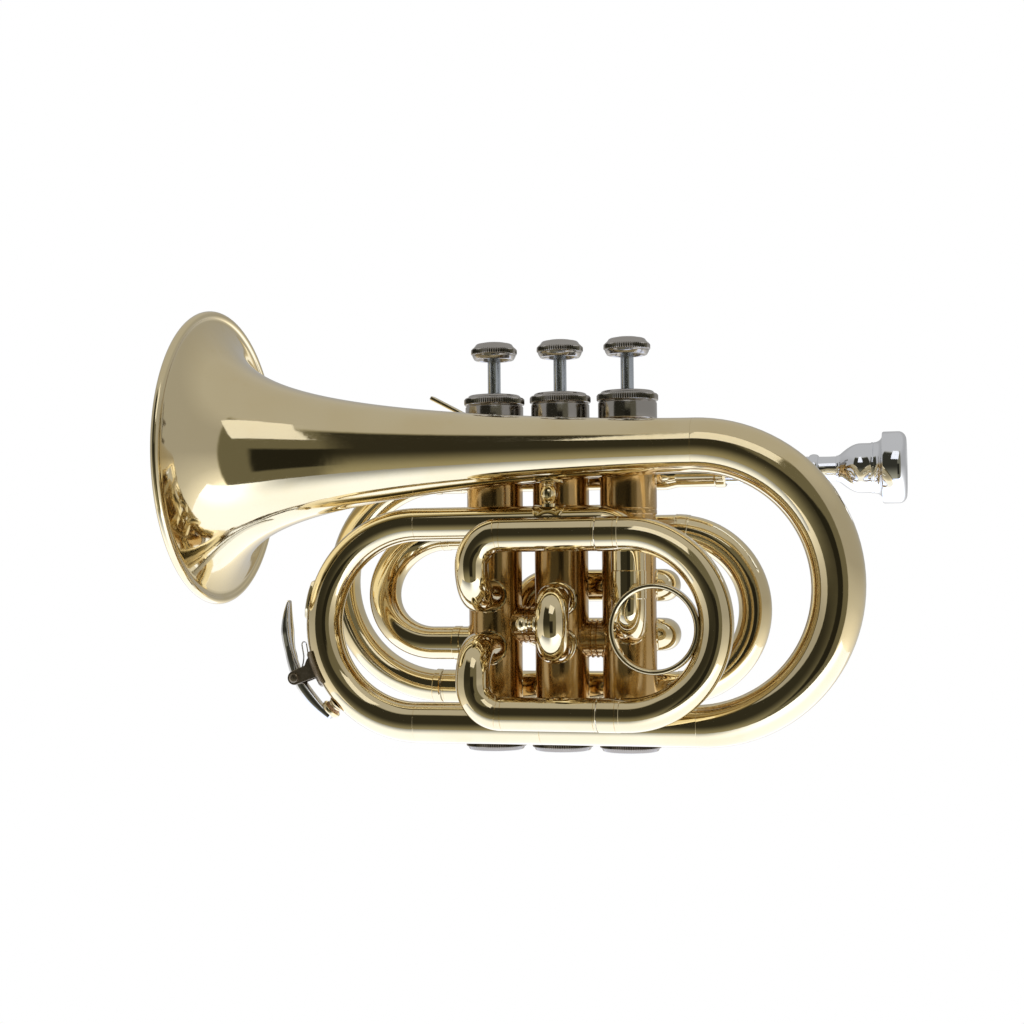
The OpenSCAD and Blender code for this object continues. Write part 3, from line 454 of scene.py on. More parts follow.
class Route:
    """Centre line of a tube: straight lengths joined by round bends."""

    def __init__(self, corners, bend=0.0):
        corners = [Vector(c) for c in corners]
        bends = list(bend) if isinstance(bend, (list, tuple)) else [bend] * (len(corners) - 2)
        ways = [(b - a).normalized() for a, b in zip(corners, corners[1:])]
        self.parts, self.length, here = [], 0.0, corners[0]
        for i, way in enumerate(ways):
            end, following = corners[i + 1], ways[i + 1] if i + 1 < len(ways) else None
            back = bends[i] * math.tan(way.angle(following) / 2) if following else 0
            run = (end - way * back - here).dot(way)
            if run > 0.01:
                self.parts.append((self.length, run, here, way, None, 0))
                self.length += run
            if following:
                inward = (following - way * following.dot(way)).normalized()
                start = end - way * back
                sweep = bends[i] * way.angle(following)
                self.parts.append((self.length, sweep, start, way, inward, bends[i]))
                self.length += sweep
                here = end + following * back

    def at(self, s):
        """Point and direction at a distance along the route."""
        begin, _, start, way, inward, bend = [p for p in self.parts if p[0] <= s + 1e-6][-1]
        if inward is None:
            return start + way * (s - begin), way
        a = (s - begin) / bend
        centre = start + inward * bend
        point = centre - inward * bend * math.cos(a) + way * bend * math.sin(a)
        return point, way * math.cos(a) + inward * math.sin(a)

    def stations(self, extra=()):
        """Distances to set a ring at: close together in bends and where the radius changes."""
        found = {0.0, self.length}
        for begin, run, _, _, inward, bend in self.parts:
            steps = math.ceil(run / bend / math.radians(3.5)) if inward else max(1, math.ceil(run / 12))
            found.update(begin + run * i / steps for i in range(steps + 1))
        found.update(e for e in extra if 0 < e < self.length)
        ordered = []
        for s in sorted(found):
            if not ordered or s - ordered[-1] > 0.012:
                ordered.append(s)
        return ordered


def band_rise(bands, s):
    """How far the bands lift or cut the surface at a distance along a tube."""
    total = 0.0
    for start, end, rise in bands:
        edge = min(max(abs(rise), 0.08), (end - start) / 3)
        total += rise * max(0.0, min(1.0, (s - start) / edge, (end - s) / edge))
    return total


def band_marks(bands):
    marks = []
    for start, end, rise in bands:
        edge = min(max(abs(rise), 0.08), (end - start) / 3)
        marks += [start, start + edge, end - edge, end]
    return marks


def tube(shell, route, radius, wall, bands=(), soften=0.15):
    """Hollow tube along a route. Radius is a number or a function of the distance."""
    size = radius if callable(radius) else lambda s: radius
    sides = bpy.context.scene.trumpet_sizes.sides
    ends = [near for step in (soften, soften + 0.1, 1.0) for near in (step, route.length - step)]
    stops = route.stations(band_marks(bands) + ends)
    outer, inner, side = [], [], None
    for s in stops:
        point, way = route.at(s)
        if side is None:
            side = Y if abs(way.y) < 0.9 else Z
        side = (side - way * side.dot(way)).normalized()
        up = way.cross(side)
        r = size(s) + band_rise(bands, s)
        if s in (stops[0], stops[-1]):
            r -= soften * 0.7
        around = spokes(side, up, sides)
        outer.append([point + spoke * r for spoke in around])
        inner.append([point + spoke * (size(s) - wall) for spoke in around])
    return shell.loft(outer + inner[::-1], loop=True)


def line(at, width=0.35):
    """A turned line round a tube."""
    return (at - width / 2, at + width / 2, -setting("groove"))


def ferrule(start, end, rise=None):
    """A collar round a tube, with a turned line inside each edge."""
    rise = setting("ferrule") if rise is None else rise
    return [(start, end, rise)] + ([line(start + 0.9), line(end - 0.9)] if end - start > 4 else [])


def ribbon(shell, points, across, width, thick, round_ends=True):
    """Flat strip with rounded edges along points. Width and thick are functions of the share of length."""
    count = len(points)
    rings = []
    for i, point in enumerate(points):
        way = (points[min(i + 1, count - 1)] - points[max(i - 1, 0)]).normalized()
        out = across.cross(way).normalized()
        share = i / (count - 1)
        w, t = width(share) / 2, thick(share) / 2
        ring = []
        for k in range(20):
            a = math.tau * k / 20
            c, s = math.cos(a), math.sin(a)
            ring.append(
                point
                + across * (w - t * 0.7) * math.copysign(1, c) * min(1, abs(c) * 3)
                + across * t * 0.7 * c
                + out * t * math.copysign(abs(s) ** 0.6, s)
            )
        rings.append(ring)
    if round_ends:
        for end, step in ((0, 1), (-1, -2)):
            middle = sum(rings[end], Vector()) / 20
            small = [middle + (p - middle) * 0.72 for p in rings[end]]
            depth = thick(0.0 if end == 0 else 1.0)
            shift = (middle - sum(rings[step], Vector()) / 20).normalized() * depth * 0.3
            small = [p + shift for p in small]
            rings = [small, *rings] if end == 0 else [*rings, small]
    return shell.loft(rings)


def arc(centre, radius, start, end, steps, u=X, v=Z):
    """Points round an arc in the plane of u and v, with angles in degrees."""
    turns = [math.radians(start + (end - start) * i / steps) for i in range(steps + 1)]
    return [centre + (u * math.cos(a) + v * math.sin(a)) * radius for a in turns]


def round_profile(points, radius=0.3, steps=3):
    """Rounds the corners of a profile of (radius, height[, bite])."""
    made = [points[0]]
    for before, here, after in zip(points, points[1:], points[2:]):
        a, b, c = (Vector(p[:2]) for p in (before, here, after))
        reach = min(radius, (a - b).length * 0.45, (c - b).length * 0.45)
        if reach < 0.02 or (a - b).angle(c - b) > math.radians(168):
            made.append(here)
            continue
        first, last = b + (a - b).normalized() * reach, b + (c - b).normalized() * reach
        for i in range(steps + 1):
            f = i / steps
            p = first * (1 - f) ** 2 + b * 2 * f * (1 - f) + last * f * f
            made.append((p.x, p.y, *here[2:]))
    made.append(points[-1])
    return made


def solder_ring(shell, route_point, way, tube_r, axis_point, casing_r, bead):
    """Bead of solder where a tube meets a casing that stands along Z."""
    side = Z.cross(way).normalized()
    loop = []
    for k in range(48):
        a = math.tau * k / 48
        offset = side * math.cos(a) * tube_r
        lift = math.sin(a) * tube_r
        base = Vector((route_point.x - axis_point.x, route_point.y - axis_point.y, 0)) + offset
        flat = Vector((way.x, way.y, 0)).normalized()
        along = base.dot(flat)
        lateral = (base - flat * along).length
        reach = math.sqrt(max(casing_r**2 - lateral**2, 0.01))
        p = axis_point + (base - flat * along) + flat * reach
        loop.append(Vector((p.x, p.y, route_point.z + lift)))
    rings = []
    for k, p in enumerate(loop):
        way_here = (loop[(k + 1) % 48] - loop[k - 1]).normalized()
        out = (p - route_point).normalized()
        u = (out - way_here * out.dot(way_here)).normalized()
        v = way_here.cross(u)
        rings.append([p + spoke * bead for spoke in spokes(u, v, 8)])
    return shell.loft(rings, loop=True)


# ---------------------------------------------------------------- where things are

LEG_LOW, LEG_HIGH, LEG_MID = span("lower_leg")
LEAD_LOW, LEAD_HIGH, LEAD_MID = span("leadpipe")
UPPER_LOW, UPPER_HIGH, _ = span("upper_leg")
BELL_LOW, BELL_HIGH, BELL_MID = span("bell")
TUBE_R = (LEAD_HIGH.z - LEAD_LOW.z) / 2
LEG_R = (LEG_HIGH.z - LEG_LOW.z) / 2
FRONT_Y, REAR_Y = LEG_MID.y, LEAD_MID.y
UPPER_Z = UPPER_HIGH.z - TUBE_R
OUTLET_X = UPPER_HIGH.x - TUBE_R
OUTLET_SPLIT_Z = UPPER_LOW.z
VALVE_X = [span(f"valve_casing_{n}")[2].x for n in VALVES]
CASING_LOW_Z = span("valve_casing_2")[0].z
CASING_TOP_Z = span("valve_casing_2")[1].z
SLEEVE_R = (span("valve_casing_2")[1].x - span("valve_casing_2")[0].x) / 2
CASING_R = 10.25
SLEEVE_LOW_Z = 4.7
SLIDE_R = 6.2
ELBOW_R = 11.0
BELL_TAIL_R = 10.0
FLARE = (5.8, 0.414, 1.44)
BELL_LENGTH = BELL_HIGH.x - BELL_LOW.x - 0.01
THIRD_LEG_Z = (-68.4, -3.3)
THIRD_PORT_Z = (-45.3, -25.5)
SECOND_PORT_Z = (-44.2, -27.2)
SECOND_ANGLE = math.radians(-83)
FIRST_LEG_Z = (-40.9, -22.1)
FIRST_EXIT = math.radians(36)
KNUCKLE_Z = (-42.2, -36.7)
INLET_Z = -43.9
OUTLET_Z = -37.3
INNER_BOW_X = 50.7
INNER_Z = -1.2


def half_turn(start, end, way, radius):
    """Route of a bow that turns back from start to end, and bulges along way."""
    return Route([start, start + way * radius, end + way * radius, end], radius)


def valve_frame(x):
    """Upright frame on the axis of a valve."""
    return frame_on(Z, Vector((x, 0, 0)))


# How far the edges at the ends of the soldered main tubing are softened.
TIGHT_EDGE = 0.06

# How much slimmer a slide's inner leg is than its outer tube, and the wall of the leg.
LEG_STEP = 0.55
LEG_WALL = 0.45


def inner_leg(shell, points, outer_r):
    """Straight leg of a slide, inside an outer tube of that radius."""
    tube(shell, Route(points), outer_r - LEG_STEP, LEG_WALL)


def bell_radius(d):
    """Outside radius of the bell at a distance from the middle of its rim."""
    start, power, close = FLARE
    rim = (BELL_HIGH.z - BELL_LOW.z) / 2
    spread = (start / (d + start)) ** power
    closing = (1 - min(d / BELL_LENGTH, 1)) ** close
    return BELL_TAIL_R + (rim - BELL_TAIL_R) * spread * closing


# ---------------------------------------------------------------- pieces


class TRUMPET_OT_bell(bpy.types.Operator):
    """Spun bell with its rolled and wired rim."""

    bl_idname = "trumpet.bell"
    bl_label = "Bell"

    def execute(self, context):
        wall = setting("bell_wall")
        ring_low, ring_high, _ = span("bell_rim_ring")
        bead = (ring_high.x - ring_low.x) / 2
        rim = (ring_high.z - ring_low.z) / 2 - bead
        outer, inner = [], []
        for i in range(84, 0, -1):
            d = BELL_LENGTH * (i / 84) ** 2.3
            if d > bead * 0.5:
                outer.append((bell_radius(d), d))
        for i in range(0, 61):
            d = BELL_LENGTH * (i / 60) ** 2.3
            slope = (bell_radius(d) - bell_radius(d + 0.5)) / 0.5
            inner.append((bell_radius(d) - wall * math.hypot(1, slope), d))
        roll = [(rim + bead * cosine(a), bead * sine(a)) for a in range(152, -171, -12)]
        place = frame_on(X, Vector((ring_low.x + bead, BELL_MID.y, BELL_MID.z)))
        Shell().lathe(outer + roll + inner, place, 160, loop=True).make(
            "bell_skin", "lacquered_brass", "root", ("bell", "bell_rim_ring"), 60
        )
        return {"FINISHED"}


class TRUMPET_OT_main_tubing(bpy.types.Operator):
    """Bell bow, lower leg, front bow, upper leg and the outlet into the first valve."""

    bl_idname = "trumpet.main_tubing"
    bl_label = "Main tubing"

    def execute(self, context):
        wall = setting("tube_wall")
        low = Vector((LEG_HIGH.x, FRONT_Y, LEG_MID.z))
        high = Vector((BELL_HIGH.x, BELL_MID.y, BELL_MID.z))
        half = (high - low).length / 2
        bow = half_turn(low, high, X, half)

        def swell(s):
            return BELL_TAIL_R + (LEG_R - BELL_TAIL_R) * max(0.0, 1 - s / bow.length) ** 2.6

        tube(Shell(), bow, swell, setting("bell_wall"), soften=TIGHT_EDGE).make(
            "bell_bow_tube", "lacquered_brass", "root", ("bell_bow",)
        )
        seam_x = -3.0
        leg = Route([(LEG_LOW.x, FRONT_Y, LEG_MID.z), low])
        tube(Shell(), leg, LEG_R, setting("bell_wall"), [line(seam_x - LEG_LOW.x, 0.3)], TIGHT_EDGE).make(
            "lower_leg_tube", "lacquered_brass", "root", ("lower_leg",)
        )
        r = (UPPER_Z - LEG_MID.z) / 2
        a = Vector((LEG_LOW.x, FRONT_Y, LEG_MID.z))
        b = Vector((LEG_LOW.x, FRONT_Y, UPPER_Z))
        front = half_turn(a, b, -X, r)
        tube(
            Shell(), front, lambda s: LEG_R + (TUBE_R - LEG_R) * s / front.length, setting("bell_wall"),
            soften=TIGHT_EDGE
        ).make("front_bow_tube", "lacquered_brass", "root", ("front_bow",))
        upper = Route([b, (OUTLET_X, FRONT_Y, UPPER_Z), (OUTLET_X, FRONT_Y, OUTLET_SPLIT_Z)], ELBOW_R)
        tube(Shell(), upper, TUBE_R, wall, soften=TIGHT_EDGE).make(
            "upper_leg_tube", "lacquered_brass", "root", ("upper_leg",)
        )
        axis = Vector((VALVE_X[0], 0, OUTLET_Z))
        way = Vector((OUTLET_X - VALVE_X[0], FRONT_Y, 0)).normalized()
        drop = Route(
            [(OUTLET_X, FRONT_Y, OUTLET_SPLIT_Z), (OUTLET_X, FRONT_Y, OUTLET_Z), axis + way * (CASING_R - 2)],
            9.0
        )
        shell = Shell()
        tube(shell, drop, TUBE_R, wall, [(0.1, 10.5, setting("ferrule"))], TIGHT_EDGE)
        solder_ring(shell, axis, way, TUBE_R, axis, CASING_R, setting("solder"))
        shell.make("outlet_elbow_tube", "lacquered_brass", "root", ("outlet_elbow",))
        return {"FINISHED"}


class TRUMPET_OT_bow_guard(bpy.types.Operator):
    """Thin crescent on the outside of the front bow."""

    bl_idname = "trumpet.bow_guard"
    bl_label = "Bow guard"

    def execute(self, context):
        r = (UPPER_Z - LEG_MID.z) / 2
        centre = Vector((LEG_LOW.x, FRONT_Y, (UPPER_Z + LEG_MID.z) / 2))
        rings = []
        for i in range(61):
            share = i / 60
            angle = math.radians(180 - 22 + 20 * share)
            out = X * math.cos(angle) + Z * math.sin(angle)
            half = math.radians(6 + 20 * math.sin(math.pi * share) ** 0.7)
            local_r = (LEG_R + TUBE_R) / 2
            inner_r = local_r - 0.6
            outer_r = local_r + 0.1 + 0.9 * min(1, 5 * math.sin(math.pi * share))
            outline = [(outer_r - 0.3 * abs(k / 6 - 1) ** 4, half * (k / 6 - 1)) for k in range(13)]
            outline += [(inner_r, half * 0.96 * (1 - k / 6)) for k in range(13)]
            rings.append([centre + out * (r + q * math.cos(t)) + Y * q * math.sin(t) for q, t in outline])
        Shell().loft(rings).make("bow_guard_plate", "lacquered_brass", "root", ("bow_guard",))
        return {"FINISHED"}


class TRUMPET_OT_bell_brace(bpy.types.Operator):
    """Turned pillar with saddle feet between the bell and the upper leg."""

    bl_idname = "trumpet.bell_brace"
    bl_label = "Bell brace"

    def execute(self, context):
        x, y = span("bell_brace")[2].x, (FRONT_Y + BELL_MID.y) / 2
        low = UPPER_Z + TUBE_R - 0.6
        high = BELL_MID.z - bell_radius(x - BELL_LOW.x) + 0.6
        shell = Shell()
        run = high - low
        profile = [(0, low), (2.7, low), (2.7, low + 1.2), (2.35, low + 1.7)]
        profile += [
            (2.3 + 1.0 * sine(180 * i / 40) ** 0.9, low + 1.9 + (run - 3.8) * i / 40) for i in range(41)
        ]
        profile += [(2.35, high - 1.7), (2.7, high - 1.2), (2.7, high), (0, high)]
        shell.lathe(profile, frame_on(Z, Vector((x, y, 0))), 64)
        for centre, r, sign in (
            (Vector((x, FRONT_Y, UPPER_Z)), TUBE_R, 1),
            (Vector((x, BELL_MID.y, BELL_MID.z)), bell_radius(x - BELL_LOW.x), -1),
        ):
            rings = []
            for lift, size in ((-0.5, 6.2), (0.2, 6.2), (0.4, 6.0), (0.5, 5.6), (0.55, 2.6), (0.55, 1.0)):
                ring = []
                for k in range(40):
                    a = math.tau * k / 40
                    across = (y - centre.y) + size * math.sin(a)
                    across = max(-r * 0.93, min(r * 0.93, across))
                    up = math.sqrt(r * r - across * across)
                    scale = (r + lift) / r
                    ring.append(centre + X * size * math.cos(a) + Y * across * scale + Z * sign * up * scale)
                rings.append(ring)
            shell.loft(rings)
        shell.make("bell_brace_pillar", "lacquered_brass", "root", ("bell_brace",))
        return {"FINISHED"}


class TRUMPET_OT_valve_casings(bpy.types.Operator):
    """Valve casings with their upper sleeves, and the knuckles between them."""

    bl_idname = "trumpet.valve_casings"
    bl_label = "Valve casings"

    def execute(self, context):
        bore = 9.1
        for n, x in zip(VALVES, VALVE_X):
            top = span(f"top_cap_{n}")[0].z - 0.3
            profile = [
                (bore, CASING_LOW_Z), (CASING_R, CASING_LOW_Z), (CASING_R, SLEEVE_LOW_Z),
                (SLEEVE_R, SLEEVE_LOW_Z), (SLEEVE_R, SLEEVE_LOW_Z + 1.6),
                (SLEEVE_R - 0.14, SLEEVE_LOW_Z + 1.8), (SLEEVE_R - 0.14, SLEEVE_LOW_Z + 2.1),
                (SLEEVE_R, SLEEVE_LOW_Z + 2.3), (SLEEVE_R, top), (CASING_R, top), (CASING_R, CASING_TOP_Z),
                (bore + 0.4, CASING_TOP_Z),
            ]
            place = valve_frame(x)
            # The casings take the darker casing brass, which is painted shade.
            Shell().lathe(round_profile(profile, 0.25), place, 96, loop=True).make(
                f"valve_casing_{n}_tube", "casing_brass", "root", (f"valve_casing_{n}",)
            )
        shell = Shell()
        r = 6.8
        for n, z in enumerate(KNUCKLE_Z):
            a, b = Vector((VALVE_X[n + 1], 0, z)), Vector((VALVE_X[n], 0, z))
            gap = VALVE_X[n] - VALVE_X[n + 1]
            near, far = 8.2, gap - 8.2
            route = Route([a + X * near, a + X * far])
            middle = route.length / 2
            bands = [(middle - 1.5, middle - 0.5, 0.45), (middle + 0.5, middle + 1.5, 0.45)]
            tube(shell, route, r, 1.6, bands)
            solder_ring(shell, a, X, r, a, CASING_R, 0.5)
            solder_ring(shell, b, -X, r, b, CASING_R, 0.5)
        # The knuckles take the same darker casing brass, which is painted shade.
        shell.make("valve_knuckle_tubes", "casing_brass", "root", ("valve_knuckles",))
        return {"FINISHED"}


class TRUMPET_OT_valve_caps(bpy.types.Operator):
    """Knurled top and bottom caps."""

    bl_idname = "trumpet.valve_caps"
    bl_label = "Valve caps"

    def execute(self, context):
        teeth = context.scene.trumpet_sizes.cap_teeth
        depth = setting("knurl")
        for n, x in zip(VALVES, VALVE_X):
            place = valve_frame(x)
            low, high, _ = span(f"top_cap_{n}")
            r, top, foot = (high.x - low.x) / 2, high.z, low.z
            profile = [
                (CASING_R + 0.05, foot), (r - 0.75, foot), (r - 0.5, foot + 0.4), (r - 0.5, top - 4.6),
                (r - 0.9, top - 4.3), (r - 0.9, top - 4.0), (r - 0.25, top - 3.8), (r, top - 3.4, 1),
                (r, top - 1.7, 1), (r - 0.45, top - 1.15, 0.7), (r - 1.5, top - 0.85), (r - 1.75, top - 0.25),
                (r - 2.3, top), (r - 5.4, top), (r - 5.7, top - 0.25), (4.4, top - 0.25), (4.1, top - 0.05),
                (2.62, top - 0.05), (2.62, top - 3), (CASING_R - 1, top - 3), (CASING_R + 0.05, top - 5),
            ]
            Shell().lathe(round_profile(profile, 0.18, 2), place, teeth * 6, teeth, depth, loop=True).make(
                f"top_cap_{n}_knurled", "nickel_plate", "root", (f"top_cap_{n}",), 40
            )
            low, high, _ = span(f"bottom_cap_{n}")
            r, top, foot = (high.x - low.x) / 2, high.z, low.z
            profile = [
                (2.5, foot + 0.5), (5.6, foot + 0.5), (5.9, foot + 0.15), (r - 2.0, foot + 0.1),
                (r - 1.1, foot + 0.35), (r - 0.7, foot + 1.2), (r, foot + 1.6, 1), (r, foot + 3.6, 1),
                (r - 0.5, foot + 4.1, 0.4), (r - 0.6, foot + 4.6), (r - 0.6, top - 0.4), (r - 0.85, top),
                (CASING_R + 0.05, top), (CASING_R + 0.05, foot + 6), (8.5, foot + 5.6), (8.5, foot + 2),
                (2.5, foot + 2),
            ]
            Shell().lathe(round_profile(profile, 0.18, 2), place, teeth * 6, teeth, depth, loop=True).make(
                f"bottom_cap_{n}_knurled", "cap_plate", "root", (f"bottom_cap_{n}",), 40
            )
        return {"FINISHED"}


class TRUMPET_OT_valve_tops(bpy.types.Operator):
    """Valve stems and their knurled finger buttons."""

    bl_idname = "trumpet.valve_tops"
    bl_label = "Stems and buttons"

    def execute(self, context):
        teeth = context.scene.trumpet_sizes.button_teeth
        for n, x in zip(VALVES, VALVE_X):
            place = valve_frame(x)
            low, high, _ = span(f"finger_button_{n}")
            r, foot, top = (high.x - low.x) / 2, low.z, high.z
            profile = [
                (0, foot + 1.6), (2.9, foot + 1.6), (3.3, foot + 2.4), (r - 2.9, foot + 2.2),
                (r - 2.5, foot + 0.6), (r - 2.0, foot + 0.2), (r - 1.3, foot + 0.4), (r - 0.55, foot + 1.7),
                (r - 0.5, foot + 2.2), (r, foot + 2.6, 1), (r, foot + 4.2, 1), (r - 0.5, foot + 4.7, 0.5),
                (r - 1.2, foot + 5.3), (r - 1.9, foot + 6.3), (r - 2.4, foot + 6.6), (r - 2.9, foot + 6.45),
                (r - 3.3, foot + 6.55),
                *[((r - 3.3) * cosine(a), top - 0.75 + 0.72 * sine(a)) for a in (18, 36, 54, 72)],
                (0, top - 0.02),
            ]
            Shell().lathe(round_profile(profile, 0.2, 2), place, teeth * 6, teeth, setting("knurl")).make(
                f"finger_button_{n}_knurled", "nickel_plate", f"valve_{n}", (f"finger_button_{n}",), 40
            )
            foot_z = span(f"valve_stem_{n}")[0].z
            profile = [
                (0, foot_z), (1.65, foot_z), (1.65, foot_z + 3), (2.5, foot_z + 3), (2.5, foot + 1.6),
                (2.3, foot + 1.9), (0, foot + 1.9),
            ]
            Shell().lathe(round_profile(profile, 0.12, 2), place, 48).make(
                f"valve_stem_{n}_rod", "stem_plate", f"valve_{n}", (f"valve_stem_{n}",)
            )
        return {"FINISHED"}


class TRUMPET_OT_leadpipe(bpy.types.Operator):
    """Leadpipe and the mouthpiece receiver."""

    bl_idname = "trumpet.leadpipe"
    bl_label = "Leadpipe and receiver"

    def execute(self, context):
        route = Route([(LEAD_LOW.x, REAR_Y, LEAD_MID.z), (LEAD_HIGH.x, REAR_Y, LEAD_MID.z)])
        tube(Shell(), route, TUBE_R, setting("tube_wall"), ferrule(0.1, 9.0)).make(
            "leadpipe_tube", "lacquered_brass", "root", ("leadpipe",)
        )
        low, high, _ = span("mouthpiece_receiver")
        end = high.x - low.x
        r = (high.z - low.z) / 2
        profile = [
            (TUBE_R - 0.4, 0), (TUBE_R + 0.45, 0), (TUBE_R + 0.45, 1.2), (TUBE_R + 0.15, 1.5),
            (TUBE_R + 0.15, 1.9), (TUBE_R + 0.45, 2.2), (TUBE_R + 0.45, 6.8), (TUBE_R + 0.1, 8.5),
            (r - 1.5, 11), (r - 1.5, end - 4.2), (r - 1.15, end - 3.8), (r - 1.15, end - 0.6), (r - 1.5, end),
            (5.0, end), (4.9, end - 0.3), (4.3, end - 20), (3.9, 6), (TUBE_R - 0.4, 5),
        ]
        place = frame_on(X, Vector((low.x, REAR_Y, LEAD_MID.z)))
        Shell().lathe(round_profile(profile, 0.3), place, 72, loop=True).make(
            "receiver_socket", "lacquered_brass", "root", ("mouthpiece_receiver",)
        )
        return {"FINISHED"}


class TRUMPET_OT_mouthpiece(bpy.types.Operator):
    """Turned and silver-plated mouthpiece."""

    bl_idname = "trumpet.mouthpiece"
    bl_label = "Mouthpiece"

    def execute(self, context):
        low, high, _ = span("mouthpiece")
        end = high.x - low.x
        rim = (high.z - low.z) / 2
        cup, throat, shank, inside = 8.25, 1.9, 4.85, 19.3
        tip = shank - 0.025 * inside
        profile = [(tip, 0), (shank, inside), (5.0, inside + 6), (4.8, end - 37.0), (4.8, end - 36.3)]
        profile += [(4.75 + 0.9 * sine(a), end - 34.3 - 1.8 * cosine(a)) for a in range(0, 181, 15)]
        profile += [
            (4.65, end - 32.1), (4.6, end - 29.0), (4.65, end - 26.0), (4.95, end - 25.8), (4.95, end - 25.3)
        ]
        profile += [(4.8 + 4.55 * sine(7.5 * i), end - 25.2 + 0.7 * i) for i in range(1, 13)]
        profile += [(9.35, end - 13.2), (9.6, end - 12.9), (9.6, end - 12.2), (9.4, end - 12.0)]
        profile += [(9.6 + 2.9 * (1 - cosine(a)), end - 11.9 + 3.1 * sine(a)) for a in range(0, 91, 15)]
        profile += [(rim - 0.3, end - 8.8), (rim, end - 8.4), (rim, end - 3.2)]
        profile += [(rim - 3.2 + 3.2 * cosine(a), end - 2.9 + 2.9 * sine(a)) for a in range(0, 90, 10)]
        profile += [(cup + 2.05 - 2.05 * sine(a), end - 2.0 + 2.0 * cosine(a)) for a in range(0, 91, 15)]
        profile += [(throat + (cup - throat) * cosine(a), end - 2 - 9 * sine(a)) for a in range(8, 91, 9)]
        profile += [(throat, end - 19), (tip - 0.8, 0.4), (tip - 0.5, 0)]
        place = frame_on(X, Vector((low.x, REAR_Y, LEAD_MID.z)))
        Shell().lathe(profile, place, 96, loop=True).make(
            "mouthpiece_turned", "silver_plate", "mouthpiece", ("mouthpiece",), 40
        )
        return {"FINISHED"}


class TRUMPET_OT_tuning_slide(bpy.types.Operator):
    """Main tuning slide, the return tube and the two inner bows."""

    bl_idname = "trumpet.tuning_slide"
    bl_label = "Tuning slide and inner bows"

    def execute(self, context):
        wall = setting("tube_wall")
        low, high, _ = span("tuning_slide_bow")
        collar = 0.45
        top_z, low_z = LEAD_MID.z, span("return_tube")[2].z
        ends, r = high.x, (top_z - low_z) / 2
        a, b = Vector((ends, REAR_Y, top_z)), Vector((ends, REAR_Y, low_z))
        bow = half_turn(a, b, -X, r)
        bands = [(0.02, 3.2, collar), (bow.length - 3.2, bow.length - 0.02, collar)]
        tube(Shell(), bow, TUBE_R, wall, bands).make(
            "tuning_bow_tube", "lacquered_brass", "tuning_slide", ("tuning_slide_bow",)
        )
        legs = Shell()
        leg_low, leg_high, _ = span("tuning_slide_legs")
        for z in (top_z, low_z):
            inner_leg(legs, [(leg_low.x - 1, REAR_Y, z), (leg_high.x, REAR_Y, z)], TUBE_R)
        legs.make("tuning_slide_inner_legs", "slide_plate", "tuning_slide", ("tuning_slide_legs",))
        low, high, _ = span("return_tube")
        back = Route([(low.x, REAR_Y, low_z), (high.x, REAR_Y, low_z)])
        tube(Shell(), back, TUBE_R, wall, ferrule(0.1, 9.0)).make(
            "return_tube_pipe", "lacquered_brass", "root", ("return_tube",)
        )
        rear_x = high.x
        r = (INNER_Z - low_z) / 2
        a, b = Vector((rear_x, REAR_Y, low_z)), Vector((rear_x, REAR_Y, INNER_Z))
        rear = half_turn(a, b, X, r)
        bands = ferrule(0.1, 5.0) + ferrule(rear.length - 5.0, rear.length - 0.1)
        tube(Shell(), rear, TUBE_R, wall, bands, TIGHT_EDGE).make(
            "rear_inner_bow_tube", "lacquered_brass", "root", ("rear_inner_bow",)
        )
        inlet = Vector((-INNER_BOW_X, 0, INLET_Z))
        upper = Vector((-INNER_BOW_X, REAR_Y, INNER_Z))
        half = (upper - inlet).length / 2
        axis = Vector((VALVE_X[2], 0, INLET_Z))
        front = Route(
            [
                Vector((rear_x, REAR_Y, INNER_Z)), upper - X * half, inlet - X * half,
                axis - X * (CASING_R - 2),
            ],
            half,
        )
        lead = rear_x + INNER_BOW_X
        after = lead + math.pi * half
        bands = ferrule(lead - 1.5, lead + 2.6) + ferrule(after + 8.2, after + 11.2)
        shell = Shell()
        tube(shell, front, TUBE_R, wall, bands, TIGHT_EDGE)
        solder_ring(shell, axis, -X, TUBE_R, axis, CASING_R, setting("solder"))
        shell.make("inner_front_bow_tube", "lacquered_brass", "root", ("inner_front_bow",))
        return {"FINISHED"}


